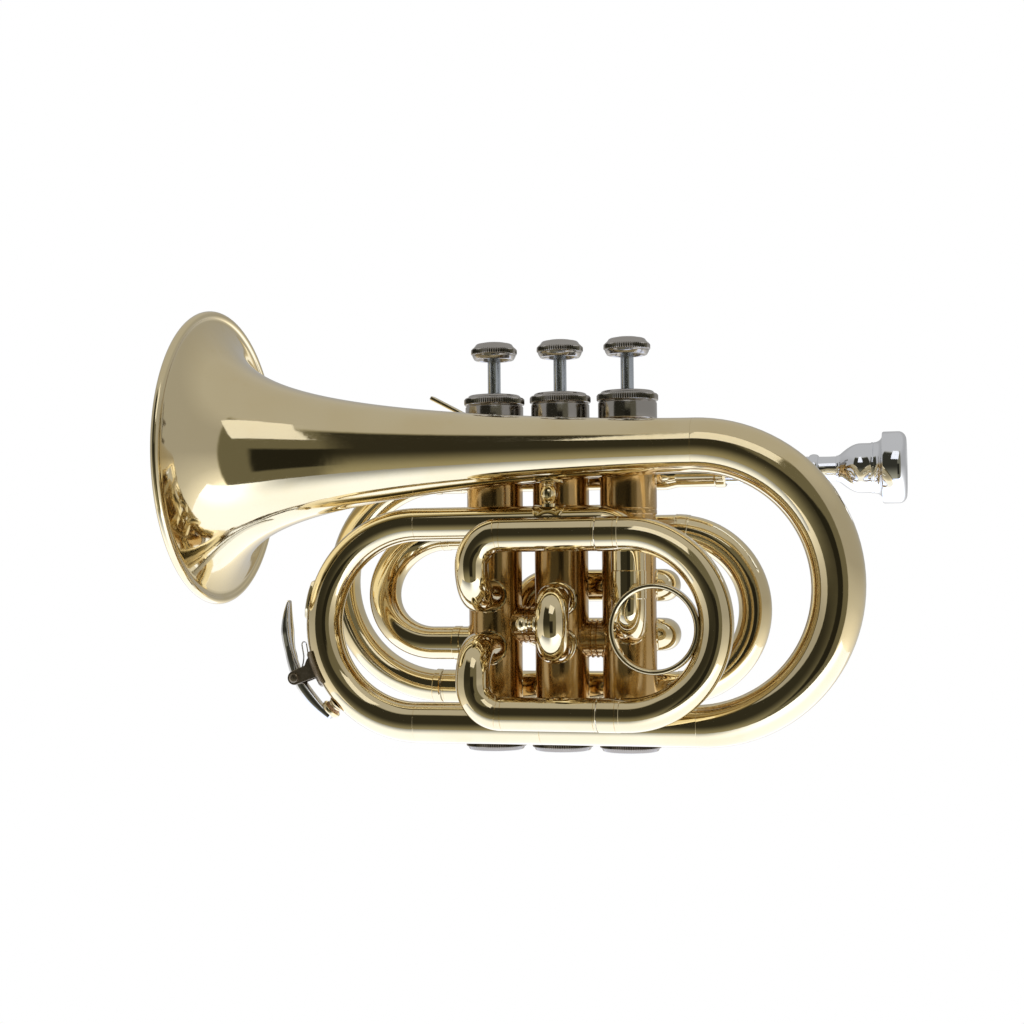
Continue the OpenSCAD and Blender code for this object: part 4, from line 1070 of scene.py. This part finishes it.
class TRUMPET_OT_third_slide(bpy.types.Operator):
    """Third valve slide with its finger ring."""

    bl_idname = "trumpet.third_slide"
    bl_label = "Third slide"

    def execute(self, context):
        wall = setting("tube_wall")
        bow_low, bow_high, bow_mid = span("third_slide_bow")
        y, split = bow_mid.y, span("third_slide_tubes")[1].x
        x, shell = VALVE_X[2], Shell()
        for port, leg in zip(THIRD_PORT_Z, THIRD_LEG_Z):
            bend = min(ELBOW_R, abs(leg - port) / 2)
            axis = Vector((x, 0, port))
            route = Route([axis - Y * (CASING_R - 2), (x, y, port), (x, y, leg), (split, y, leg)], bend)
            from_x = route.length - split
            bands = [line(from_x - 16.6, 0.3), line(from_x - 14.6, 0.3), line(from_x + split - 1.0, 0.3)]
            tube(shell, route, SLIDE_R, wall, bands)
            solder_ring(shell, axis, -Y, SLIDE_R, axis, CASING_R, setting("solder"))
        shell.make("third_slide_outer", "lacquered_brass", "root", ("third_slide_tubes",))
        start, r = bow_low.x, (THIRD_LEG_Z[1] - THIRD_LEG_Z[0]) / 2
        bend_x = bow_high.x - SLIDE_R - r
        corner = [Vector((start, y, z)) for z in (THIRD_LEG_Z[1], THIRD_LEG_Z[0])]
        far = [Vector((bend_x + r, y, z)) for z in (THIRD_LEG_Z[1], THIRD_LEG_Z[0])]
        bow = Route([corner[0], far[0], far[1], corner[1]], r)
        collar = 8.1
        bands = [(0.02, collar, 0.15), line(collar - 1.6, 0.3)]
        bands += [(bow.length - collar, bow.length - 0.02, 0.15), line(bow.length - collar + 1.6, 0.3)]
        tube(Shell(), bow, SLIDE_R, wall, bands).make(
            "third_slide_bow_tube", "lacquered_brass", "third_slide", ("third_slide_bow",)
        )
        legs = Shell()
        leg_low, leg_high, _ = span("third_slide_legs")
        for z in THIRD_LEG_Z:
            inner_leg(legs, [(leg_low.x, y, z), (leg_high.x + 1, y, z)], SLIDE_R)
        legs.make("third_slide_inner_legs", "slide_plate", "third_slide", ("third_slide_legs",))
        low, high, _ = span("finger_ring")
        radius = (high.z - low.z) / 2
        centre = Vector((low.x + radius, y, (low.z + high.z) / 2))
        h = (high.y - low.y) / 2
        profile = [(radius - 1.9, -h + 0.5), (radius - 1.4, -h), (radius - 0.5, -h), (radius, -h + 0.5)]
        profile += [(radius, h - 0.5), (radius - 0.5, h), (radius - 1.4, h), (radius - 1.9, h - 0.5)]
        closed = round_profile([*profile, profile[0]], 0.3)[1:]
        Shell().lathe(closed, frame_on(Y, centre), 96, loop=True).make(
            "finger_ring_band", "lacquered_brass", "third_slide", ("finger_ring",)
        )
        return {"FINISHED"}


class TRUMPET_OT_second_slide(bpy.types.Operator):
    """Short second valve slide with its pull knob."""

    bl_idname = "trumpet.second_slide"
    bl_label = "Second slide"

    def execute(self, context):
        wall = setting("tube_wall")
        way = Vector((math.cos(SECOND_ANGLE), math.sin(SECOND_ANGLE), 0))
        split, reach = CASING_R + 9, 29.5
        shell, legs = Shell(), Shell()
        for z in SECOND_PORT_Z:
            axis = Vector((0, 0, z))
            route = Route([axis + way * (CASING_R - 2), axis + way * (split - 0.05)])
            tube(shell, route, SLIDE_R, wall, [(2.6, 5.2, 0.25), (8.4, route.length, 0.3)])
            solder_ring(shell, axis, way, SLIDE_R, axis, CASING_R, setting("solder"))
            inner_leg(legs, [axis + way * (CASING_R + 0.5), axis + way * (split + 1.3)], SLIDE_R)
        shell.make("second_slide_outer", "lacquered_brass", "root", ("second_slide_tubes",))
        legs.make("second_slide_inner_legs", "slide_plate", "second_slide", ("second_slide_legs",))
        r = (SECOND_PORT_Z[1] - SECOND_PORT_Z[0]) / 2
        high, low = (Vector((0, 0, z)) for z in (SECOND_PORT_Z[1], SECOND_PORT_Z[0]))
        a, b = split + 0.3, reach + r
        bow = Route([high + way * a, high + way * b, low + way * b, low + way * a], r)
        bands = [(0.02, 2.4, 0.3), (bow.length - 2.4, bow.length - 0.02, 0.3)]
        tube(Shell(), bow, SLIDE_R, wall, bands).make(
            "second_slide_bow_tube", "lacquered_brass", "second_slide", ("second_slide_bow",)
        )
        side = Vector((math.sin(SECOND_ANGLE), -math.cos(SECOND_ANGLE), 0))
        root = (high + low) / 2 + way * b + side * (SLIDE_R - 0.5)
        profile = [
            (0, 0), (3.1, 0), (3.1, 0.5), (2.5, 1.2), (1.6, 1.6), (1.4, 2.2), (1.5, 2.7), (2.4, 2.9),
            (2.4, 3.2),
        ]
        profile += [(3.0 * cosine(a), 5 + 2.4 * sine(a)) for a in range(-38, 90, 12)]
        profile += [(0, 7.4)]
        Shell().lathe(round_profile(profile, 0.2, 2), frame_on(side, root), 48).make(
            "slide_knob_turned", "lacquered_brass", "second_slide", ("slide_knob",)
        )
        return {"FINISHED"}


class TRUMPET_OT_first_slide(bpy.types.Operator):
    """First valve slide, on the player's right."""

    bl_idname = "trumpet.first_slide"
    bl_label = "First slide"

    def execute(self, context):
        wall = setting("tube_wall")
        low, high, _ = span("first_slide_bow")
        y = (low.y + high.y) / 2
        split = span("first_slide_tubes")[0].x
        way = Vector((math.cos(FIRST_EXIT), math.sin(FIRST_EXIT), 0))
        bend = SLIDE_R + 0.6
        stub = CASING_R + 0.5
        shell = Shell()
        for z in FIRST_LEG_Z:
            axis = Vector((VALVE_X[0], 0, z))
            foot = axis + way * stub
            corner = foot + way * ((y - foot.y) / way.y)
            route = Route([Vector((split, y, z)), corner, axis + way * (CASING_R - 2)], bend)
            tube(shell, route, SLIDE_R, wall, ferrule(0.1, 3.2), 0.1)
            solder_ring(shell, axis, way, SLIDE_R, axis, CASING_R, setting("solder"))
        shell.make("first_slide_outer", "lacquered_brass", "root", ("first_slide_tubes",))
        r = (FIRST_LEG_Z[1] - FIRST_LEG_Z[0]) / 2
        ends, far = high.x, low.x + SLIDE_R
        low_z, high_z = FIRST_LEG_Z
        bow = Route([(ends, y, high_z), (far, y, high_z), (far, y, low_z), (ends, y, low_z)], r)
        bands = [(0.02, 4.2, 0.25), (bow.length - 4.2, bow.length - 0.02, 0.25)]
        tube(Shell(), bow, SLIDE_R, wall, bands).make(
            "first_slide_bow_tube", "lacquered_brass", "first_slide", ("first_slide_bow",)
        )
        legs = Shell()
        leg_low, leg_high, _ = span("first_slide_legs")
        for z in FIRST_LEG_Z:
            inner_leg(legs, [(leg_low.x - 1, y, z), (leg_high.x, y, z)], SLIDE_R)
        legs.make("first_slide_inner_legs", "slide_plate", "first_slide", ("first_slide_legs",))
        return {"FINISHED"}


class TRUMPET_OT_finger_hook(bpy.types.Operator):
    """Hook for the little finger on the leadpipe."""

    bl_idname = "trumpet.finger_hook"
    bl_label = "Finger hook"

    def execute(self, context):
        heel = Vector((-30, REAR_Y, LEAD_MID.z + TUBE_R + 0.9))
        top = heel + Vector((-19.6, 0, 9))
        points = [heel + X * d for d in (8, 6, 4, 2)]
        points += arc(heel + Z * 9, 9, -90, -180, 14)
        points += arc(top, 10.6, 4, 62, 10)
        lean = Vector((-sine(62), 0, cosine(62)))
        points += [points[-1] + lean * d for d in (2.5, 5, 7.5, 10, 12, 13.6)]
        shell = Shell()
        ribbon(shell, smoothed(points), Y, lambda f: 7.0 - 0.8 * f, lambda f: 1.8)
        shell.make("finger_hook_strip", "lacquered_brass", "root", ("finger_hook",))
        return {"FINISHED"}


class TRUMPET_OT_water_key(bpy.types.Operator):
    """Water key: bracket, sprung lever, cup and cork on the front bow."""

    bl_idname = "trumpet.water_key"
    bl_label = "Water key"

    def execute(self, context):
        bow_r = (UPPER_Z - LEG_MID.z) / 2
        centre = Vector((LEG_LOW.x, FRONT_Y, (UPPER_Z + LEG_MID.z) / 2))
        key, nipple = 203.3, 223.3
        key_r = bow_r + 15.2

        def out(turn):
            return X * cosine(turn) + Z * sine(turn)

        pivot = centre + out(key) * key_r
        bracket = Shell()
        for side in (-1, 1):
            y = side * 3.9
            outline = arc(pivot, 2.7, key - 92, key + 92, 14)
            outline += [centre + out(key + 3.6) * (bow_r + 9.5), centre + out(key + 4.8) * (bow_r + 4.5)]
            outline += [
                centre + out(key - 8.5) * (bow_r + 4.5), centre + out(key - 6.0) * (bow_r + 7.6),
                centre + out(key - 3.4) * (bow_r + 9.4),
            ]
            layers = ((-0.6, 0.04), (-0.45, 0), (0.45, 0), (0.6, 0.04))
            bracket.loft(
                [[p + (pivot - p) * inset + Y * (y + lean) for p in outline] for lean, inset in layers]
            )
        rings = []
        for i in range(15):
            turn = key - 9 + 18 * i / 14
            rise = 0.75 * min(1, 4 * math.sin(math.pi * (i + 0.6) / 15.2))
            section = [(LEG_R + rise, -50 + 100 * k / 12) for k in range(13)]
            section += [(LEG_R - 0.5, 50 - 100 * k / 12) for k in range(13)]
            rings.append([centre + out(turn) * (bow_r + q * cosine(t)) + Y * q * sine(t) for q, t in section])
        bracket.loft(rings)
        pin = [
            (0, -5.6), (1.1, -5.5), (1.75, -5.35), (1.75, -4.75), (1.1, -4.6), (1.1, 4.6), (1.5, 4.7),
            (1.5, 5.1), (0, 5.2),
        ]
        bracket.lathe(round_profile(pin, 0.2, 2), frame_on(Y, pivot), 32)
        foot = bow_r + LEG_R
        cup_place = frame_on(out(nipple), centre + out(nipple) * foot)
        bracket.make("water_key_bracket", "bracket_plate", "root", ("water_key_mount",))
        nozzle = [(1.3, -0.6), (3.4, -0.6), (3.0, 0.2), (2.8, 0.4), (2.8, 1.0), (2.6, 1.1), (1.4, 1.1)]
        Shell().lathe(round_profile(nozzle, 0.15, 2), cup_place, 36, loop=True).make(
            "water_key_nipple", "lacquered_brass", "root"
        )
        arm_r, arm_start, arm_end = 50, 204.2, 169.8
        arm_centre = pivot - out(arm_start) * arm_r
        points = arc(arm_centre, arm_r, arm_end, arm_start - 2, 30)
        cup_top = foot + 4.9
        for i in range(13):
            turn = key + 2 + (nipple - key) * i / 12
            points.append(centre + out(turn) * (key_r + (cup_top - key_r) * i / 12))

        def width(f):
            if f < 0.5:
                crown = math.sin(math.pi * min(1, f / 0.3) / 2) ** 0.8
                return 2.4 + 5.0 * crown - 2.6 * max(0, f - 0.3) / 0.2
            return max(4.2, 4.8 - 2 * (f - 0.5))

        def thick(f):
            swell = max(0, sine(180 * (f - 0.5) / 0.5))
            return 1.0 + 2.3 * min(1, f / 0.28) + 0.9 * swell - 1.2 * max(0, f - 0.85) / 0.15

        lever = Shell()
        ribbon(lever, smoothed(points), Y, width, thick)
        hub = [(1.15, -1.45), (2.1, -1.45), (2.3, -1.2), (2.3, 1.2), (2.1, 1.45), (1.15, 1.45)]
        lever.lathe(round_profile(hub, 0.15, 2), frame_on(Y, pivot), 36, loop=True)
        for side in (-1, 1):
            cheek = arc(pivot, 2.7, key - 100, key + 80, 12)
            cheek += [pivot.lerp(points[12], share) - out(key) * 0.9 * (1 - share) for share in (0.45, 0.8)]
            cheek += [points[12] + out(key) * 0.4, pivot.lerp(points[12], 0.5) + out(key) * 1.2]
            lever.loft([[p + Y * (side * 2.55 + thin) for p in cheek] for thin in (-0.3, 0.3)])
        lever.make("water_key_lever_plate", "chrome_plate", "water_key", ("water_key_lever",))
        cup = [
            (3.05, 2.1), (3.75, 2.1), (3.95, 2.4), (3.9, 3.3), (3.5, 3.9), (2.2, 4.3), (1.7, 4.6), (1.6, 5.0),
            (0, 5.0), (0, 3.55), (3.05, 3.55),
        ]
        Shell().lathe(round_profile(cup, 0.2, 2), cup_place, 40, loop=True).make(
            "water_key_cup", "lacquered_brass", "water_key"
        )
        cork = [(0, 1.12), (2.4, 1.12), (2.95, 1.4), (3.02, 2.0), (3.02, 3.5), (0, 3.5)]
        Shell().lathe(round_profile(cork, 0.25, 3), cup_place, 40).make(
            "water_key_cork_pad", "cork_block", "water_key", ("water_key_cork",)
        )
        spring = Shell()
        for side in (-1, 1):
            points = []
            for i in range(61):
                a = math.radians(key + 40 + 720 * i / 60 * side)
                sideways = Y * side * (2.0 + 1.1 * i / 60)
                points.append(pivot + X * 1.5 * math.cos(a) + Z * 1.5 * math.sin(a) + sideways)
            last = points[-1]
            knee = centre + out(key - 2) * (foot + 3.0) + Y * side * 3.0
            end = centre + out(key - 8) * (foot + 1.7) + Y * side * 2.4
            for i in range(1, 13):
                f = i / 12
                points.append(last * (1 - f) ** 2 + knee * 2 * f * (1 - f) + end * f * f)
            for a in range(0, 91, 15):
                loop = centre + out(key - 13 - 1.5 * sine(a)) * (foot + 1.5)
                points.append(loop + Y * side * 2.4 * cosine(a))
            spring_wire(spring, points, 0.25)
        spring.make("water_key_spring_wire", "spring_wire", "root", ("water_key_spring",))
        return {"FINISHED"}


def spring_wire(shell, points, radius):
    """Round wire through points."""
    rings, side = [], None
    for i, point in enumerate(points):
        way = (points[min(i + 1, len(points) - 1)] - points[max(i - 1, 0)]).normalized()
        side = side or (Y if abs(way.y) < 0.9 else Z)
        side = (side - way * side.dot(way)).normalized()
        up = way.cross(side)
        rings.append([point + spoke * radius for spoke in spokes(side, up, 10)])
    return shell.loft(rings)


class TRUMPET_OT_inner_parts(bpy.types.Operator):
    """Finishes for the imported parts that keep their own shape."""

    bl_idname = "trumpet.inner_parts"
    bl_label = "Inner parts"

    def execute(self, context):
        kept = {"tube_braces": "lacquered_brass", "valve_guides": "lacquered_brass", "cap_felts": "wool_felt"}
        kept.update({f"piston_{n}": "piston_plate" for n in VALVES})
        kept.update({f"valve_spring_{n}": "spring_wire" for n in VALVES})
        for node, material in kept.items():
            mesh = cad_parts[node].data
            mesh.materials.clear()
            mesh.materials.append(finish(material))
        return {"FINISHED"}


# Greys of the tent's wall, from the ground to the top, as shares of the way up.
WALL_GREYS = (
    (0, 1), (0.30, 0.95), (0.36, 0.55), (0.43, 0.34), (0.52, 0.22), (0.64, 0.22), (0.75, 0.27), (1, 0.27)
)


class TRUMPET_OT_stage(bpy.types.Operator):
    """Pale floor, white tent, soft panel and the camera."""

    bl_idname = "trumpet.stage"
    bl_label = "Stage"

    def execute(self, context):
        studio = context.scene.trumpet_studio
        colours = context.scene.trumpet_colours
        context.scene.view_settings.view_transform = "Standard"
        self.floor(studio, colours)
        self.panel("soft_panel", studio)
        self.tent(studio)
        self.camera(studio)
        return {"FINISHED"}

    def floor(self, studio, colours):
        wide, front, back = 0.75, -0.5, 0.7
        z = studio.floor_drop
        mesh = bpy.data.meshes.new("studio_floor")
        corners = [(-wide, front, z), (wide, front, z), (wide, back, z), (-wide, back, z)]
        mesh.from_pydata(corners, [], [(0, 1, 2, 3)])
        self.glowing(mesh, "pale_floor", colours.floor, studio.floor_glow, self.floor_light)

    def panel(self, name, studio):
        """Soft panel above and in front, aimed from the flare of the bell."""
        flare, away = Vector((-0.11, -0.03, 0.035)), studio.panel_distance
        points = []
        for azimuth, elevation in ((9.0, 52.0), (47.2, 37.0), (31.9, 18.8), (6.0, 24.1)):
            a, e = math.radians(azimuth), math.radians(elevation)
            points.append(flare + Vector((math.tan(a), -1, math.tan(e) / math.cos(a))) * away)
        mesh = bpy.data.meshes.new(name)
        mesh.from_pydata(points, [], [tuple(range(4))])
        self.glowing(mesh, name + "_cloth", (1, 1, 1), studio.panel_glow)

    def floor_light(self, graph):
        """Brightest at the front right, fading towards the front left."""
        own = graph.add("ShaderNodeSeparateXYZ", None, {"Vector": graph.place()}, 0)
        across, along = own, Signal(graph, own.socket.node.outputs[1])
        right = across.step(-0.1, 0.2)
        front = along.step(-0.1, -0.32)
        fade = (1 - right) * along.step(-0.16, -0.5)
        return 0.72 + 0.28 * right * front - 0.52 * fade

    def glowing(self, mesh, name, tone, strength, light=None):
        material = bpy.data.materials.new(name)
        graph = Graph(material)
        weave = graph.noise(graph.place(), 40, 2)
        body = graph.mix(weave, [0.97 * v for v in tone], tone)
        if light:
            body = graph.mix(light(graph), (0, 0, 0), body)
        graph.finish(
            graph.add(
                "ShaderNodeBsdfPrincipled",
                None,
                {"Base Color": body, "Roughness": 0.9, "Emission Color": body, "Emission Strength": strength},
            )
        )
        mesh.materials.append(material)
        sheet = bpy.data.objects.new(mesh.name, mesh)
        bpy.context.scene.collection.objects.link(sheet)
        sheet.visible_camera = False

    def tent(self, studio):
        """White tent with a dark opening behind the camera."""
        world = bpy.data.worlds.new("white_tent")
        bpy.context.scene.world = world
        graph = Graph(world)
        way = graph.add("ShaderNodeTexCoord", output="Generated")
        parts = graph.tree.nodes.new("ShaderNodeSeparateXYZ")
        graph.tree.links.new(way.socket, parts.inputs[0])
        x, y, z = (Signal(graph, parts.outputs[i]) for i in range(3))
        degrees = 180 / math.pi
        rise = z.join("ARCSINE", z) * degrees
        swing = x.join("ARCTAN2", x, y * -1) * degrees
        side = swing.join("ABSOLUTE", swing)
        wall = graph.add(
            "ShaderNodeValToRGB",
            {"stops": [(place, (grey, grey, grey)) for place, grey in WALL_GREYS]},
            {"Fac": (rise + 90) / 180},
        )
        wall_light = graph.add("ShaderNodeRGBToBW", None, {"Color": wall}) * (studio.tent / 0.27)
        opening = side.step(43, 46, 1, 0) * rise.step(40, 48, 1, 0)
        block = swing.step(20, 24, 1, 0) * rise.step(6, 10, 1, 0) * rise.step(-28, -24)
        left = swing.step(-2, 3, 1, 0)
        inside = (0.16 - block * 0.14) * (1 - left) + left * rise.step(-45, 2, 0.38, 0.035)
        light = wall_light * (1 - opening) + opening * inside
        seen = graph.add("ShaderNodeLightPath", output="Is Camera Ray")
        strength = light * (1 - seen) + seen * 1.0
        tint = graph.mix(opening * (1 - seen), (1, 1, 1), (1.0, 0.96, 0.70))
        shade = graph.add("ShaderNodeBackground", None, {"Color": tint, "Strength": strength})
        graph.finish(shade)

    def camera(self, studio):
        a, e, r = studio.azimuth, studio.elevation, studio.roll
        back = Vector((math.sin(a) * math.cos(e), -math.cos(a) * math.cos(e), math.sin(e)))
        right = Vector((math.cos(a), math.sin(a), 0))
        up = back.cross(right)
        across = right * math.cos(r) + up * math.sin(r)
        upward = up * math.cos(r) - right * math.sin(r)
        lens = bpy.data.cameras.new("studio_camera")
        lens.lens, lens.sensor_width = studio.lens, 36
        lens.clip_start, lens.clip_end = 0.01, 20
        camera = bpy.data.objects.new("studio_camera", lens)
        turned = Matrix((across, upward, back)).transposed().to_4x4()
        camera.matrix_world = Matrix.Translation(Vector(studio.target) + back * studio.distance) @ turned
        bpy.context.scene.collection.objects.link(camera)
        bpy.context.scene.camera = camera


class TRUMPET_PT_panel(bpy.types.Panel):
    """Lists the operators and the settings."""

    bl_idname = "TRUMPET_PT_panel"
    bl_label = "Pocket Trumpet"
    bl_space_type = "VIEW_3D"
    bl_region_type = "UI"
    bl_category = "Trumpet"

    def draw(self, context):
        for operator in OPERATORS:
            self.layout.operator(operator.bl_idname)
        for group in ("trumpet_sizes", "trumpet_colours", "trumpet_studio"):
            settings = getattr(context.scene, group)
            for name in type(settings).__annotations__:
                self.layout.prop(settings, name)


OPERATORS = (
    TRUMPET_OT_bell,
    TRUMPET_OT_main_tubing,
    TRUMPET_OT_bow_guard,
    TRUMPET_OT_bell_brace,
    TRUMPET_OT_valve_casings,
    TRUMPET_OT_valve_caps,
    TRUMPET_OT_valve_tops,
    TRUMPET_OT_leadpipe,
    TRUMPET_OT_mouthpiece,
    TRUMPET_OT_tuning_slide,
    TRUMPET_OT_third_slide,
    TRUMPET_OT_second_slide,
    TRUMPET_OT_first_slide,
    TRUMPET_OT_finger_hook,
    TRUMPET_OT_water_key,
    TRUMPET_OT_inner_parts,
    TRUMPET_OT_stage,
)
GROUPS = {"trumpet_sizes": TrumpetSizes, "trumpet_colours": TrumpetColours, "trumpet_studio": TrumpetStudio}


def register():
    for kind in (*GROUPS.values(), *OPERATORS, TRUMPET_PT_panel):
        bpy.utils.register_class(kind)
    for name, kind in GROUPS.items():
        setattr(bpy.types.Scene, name, bpy.props.PointerProperty(type=kind))


def unregister():
    for name in GROUPS:
        delattr(bpy.types.Scene, name)
    for kind in (TRUMPET_PT_panel, *reversed(OPERATORS), *GROUPS.values()):
        bpy.utils.unregister_class(kind)


def main():
    register()
    for operator in OPERATORS:
        family, name = operator.bl_idname.split(".")
        result = getattr(getattr(bpy.ops, family), name)()
        if result != {"FINISHED"}:
            raise RuntimeError(f"{operator.bl_label} was not built")
    bpy.context.view_layer.update()


if __name__ == "__main__":
    main()
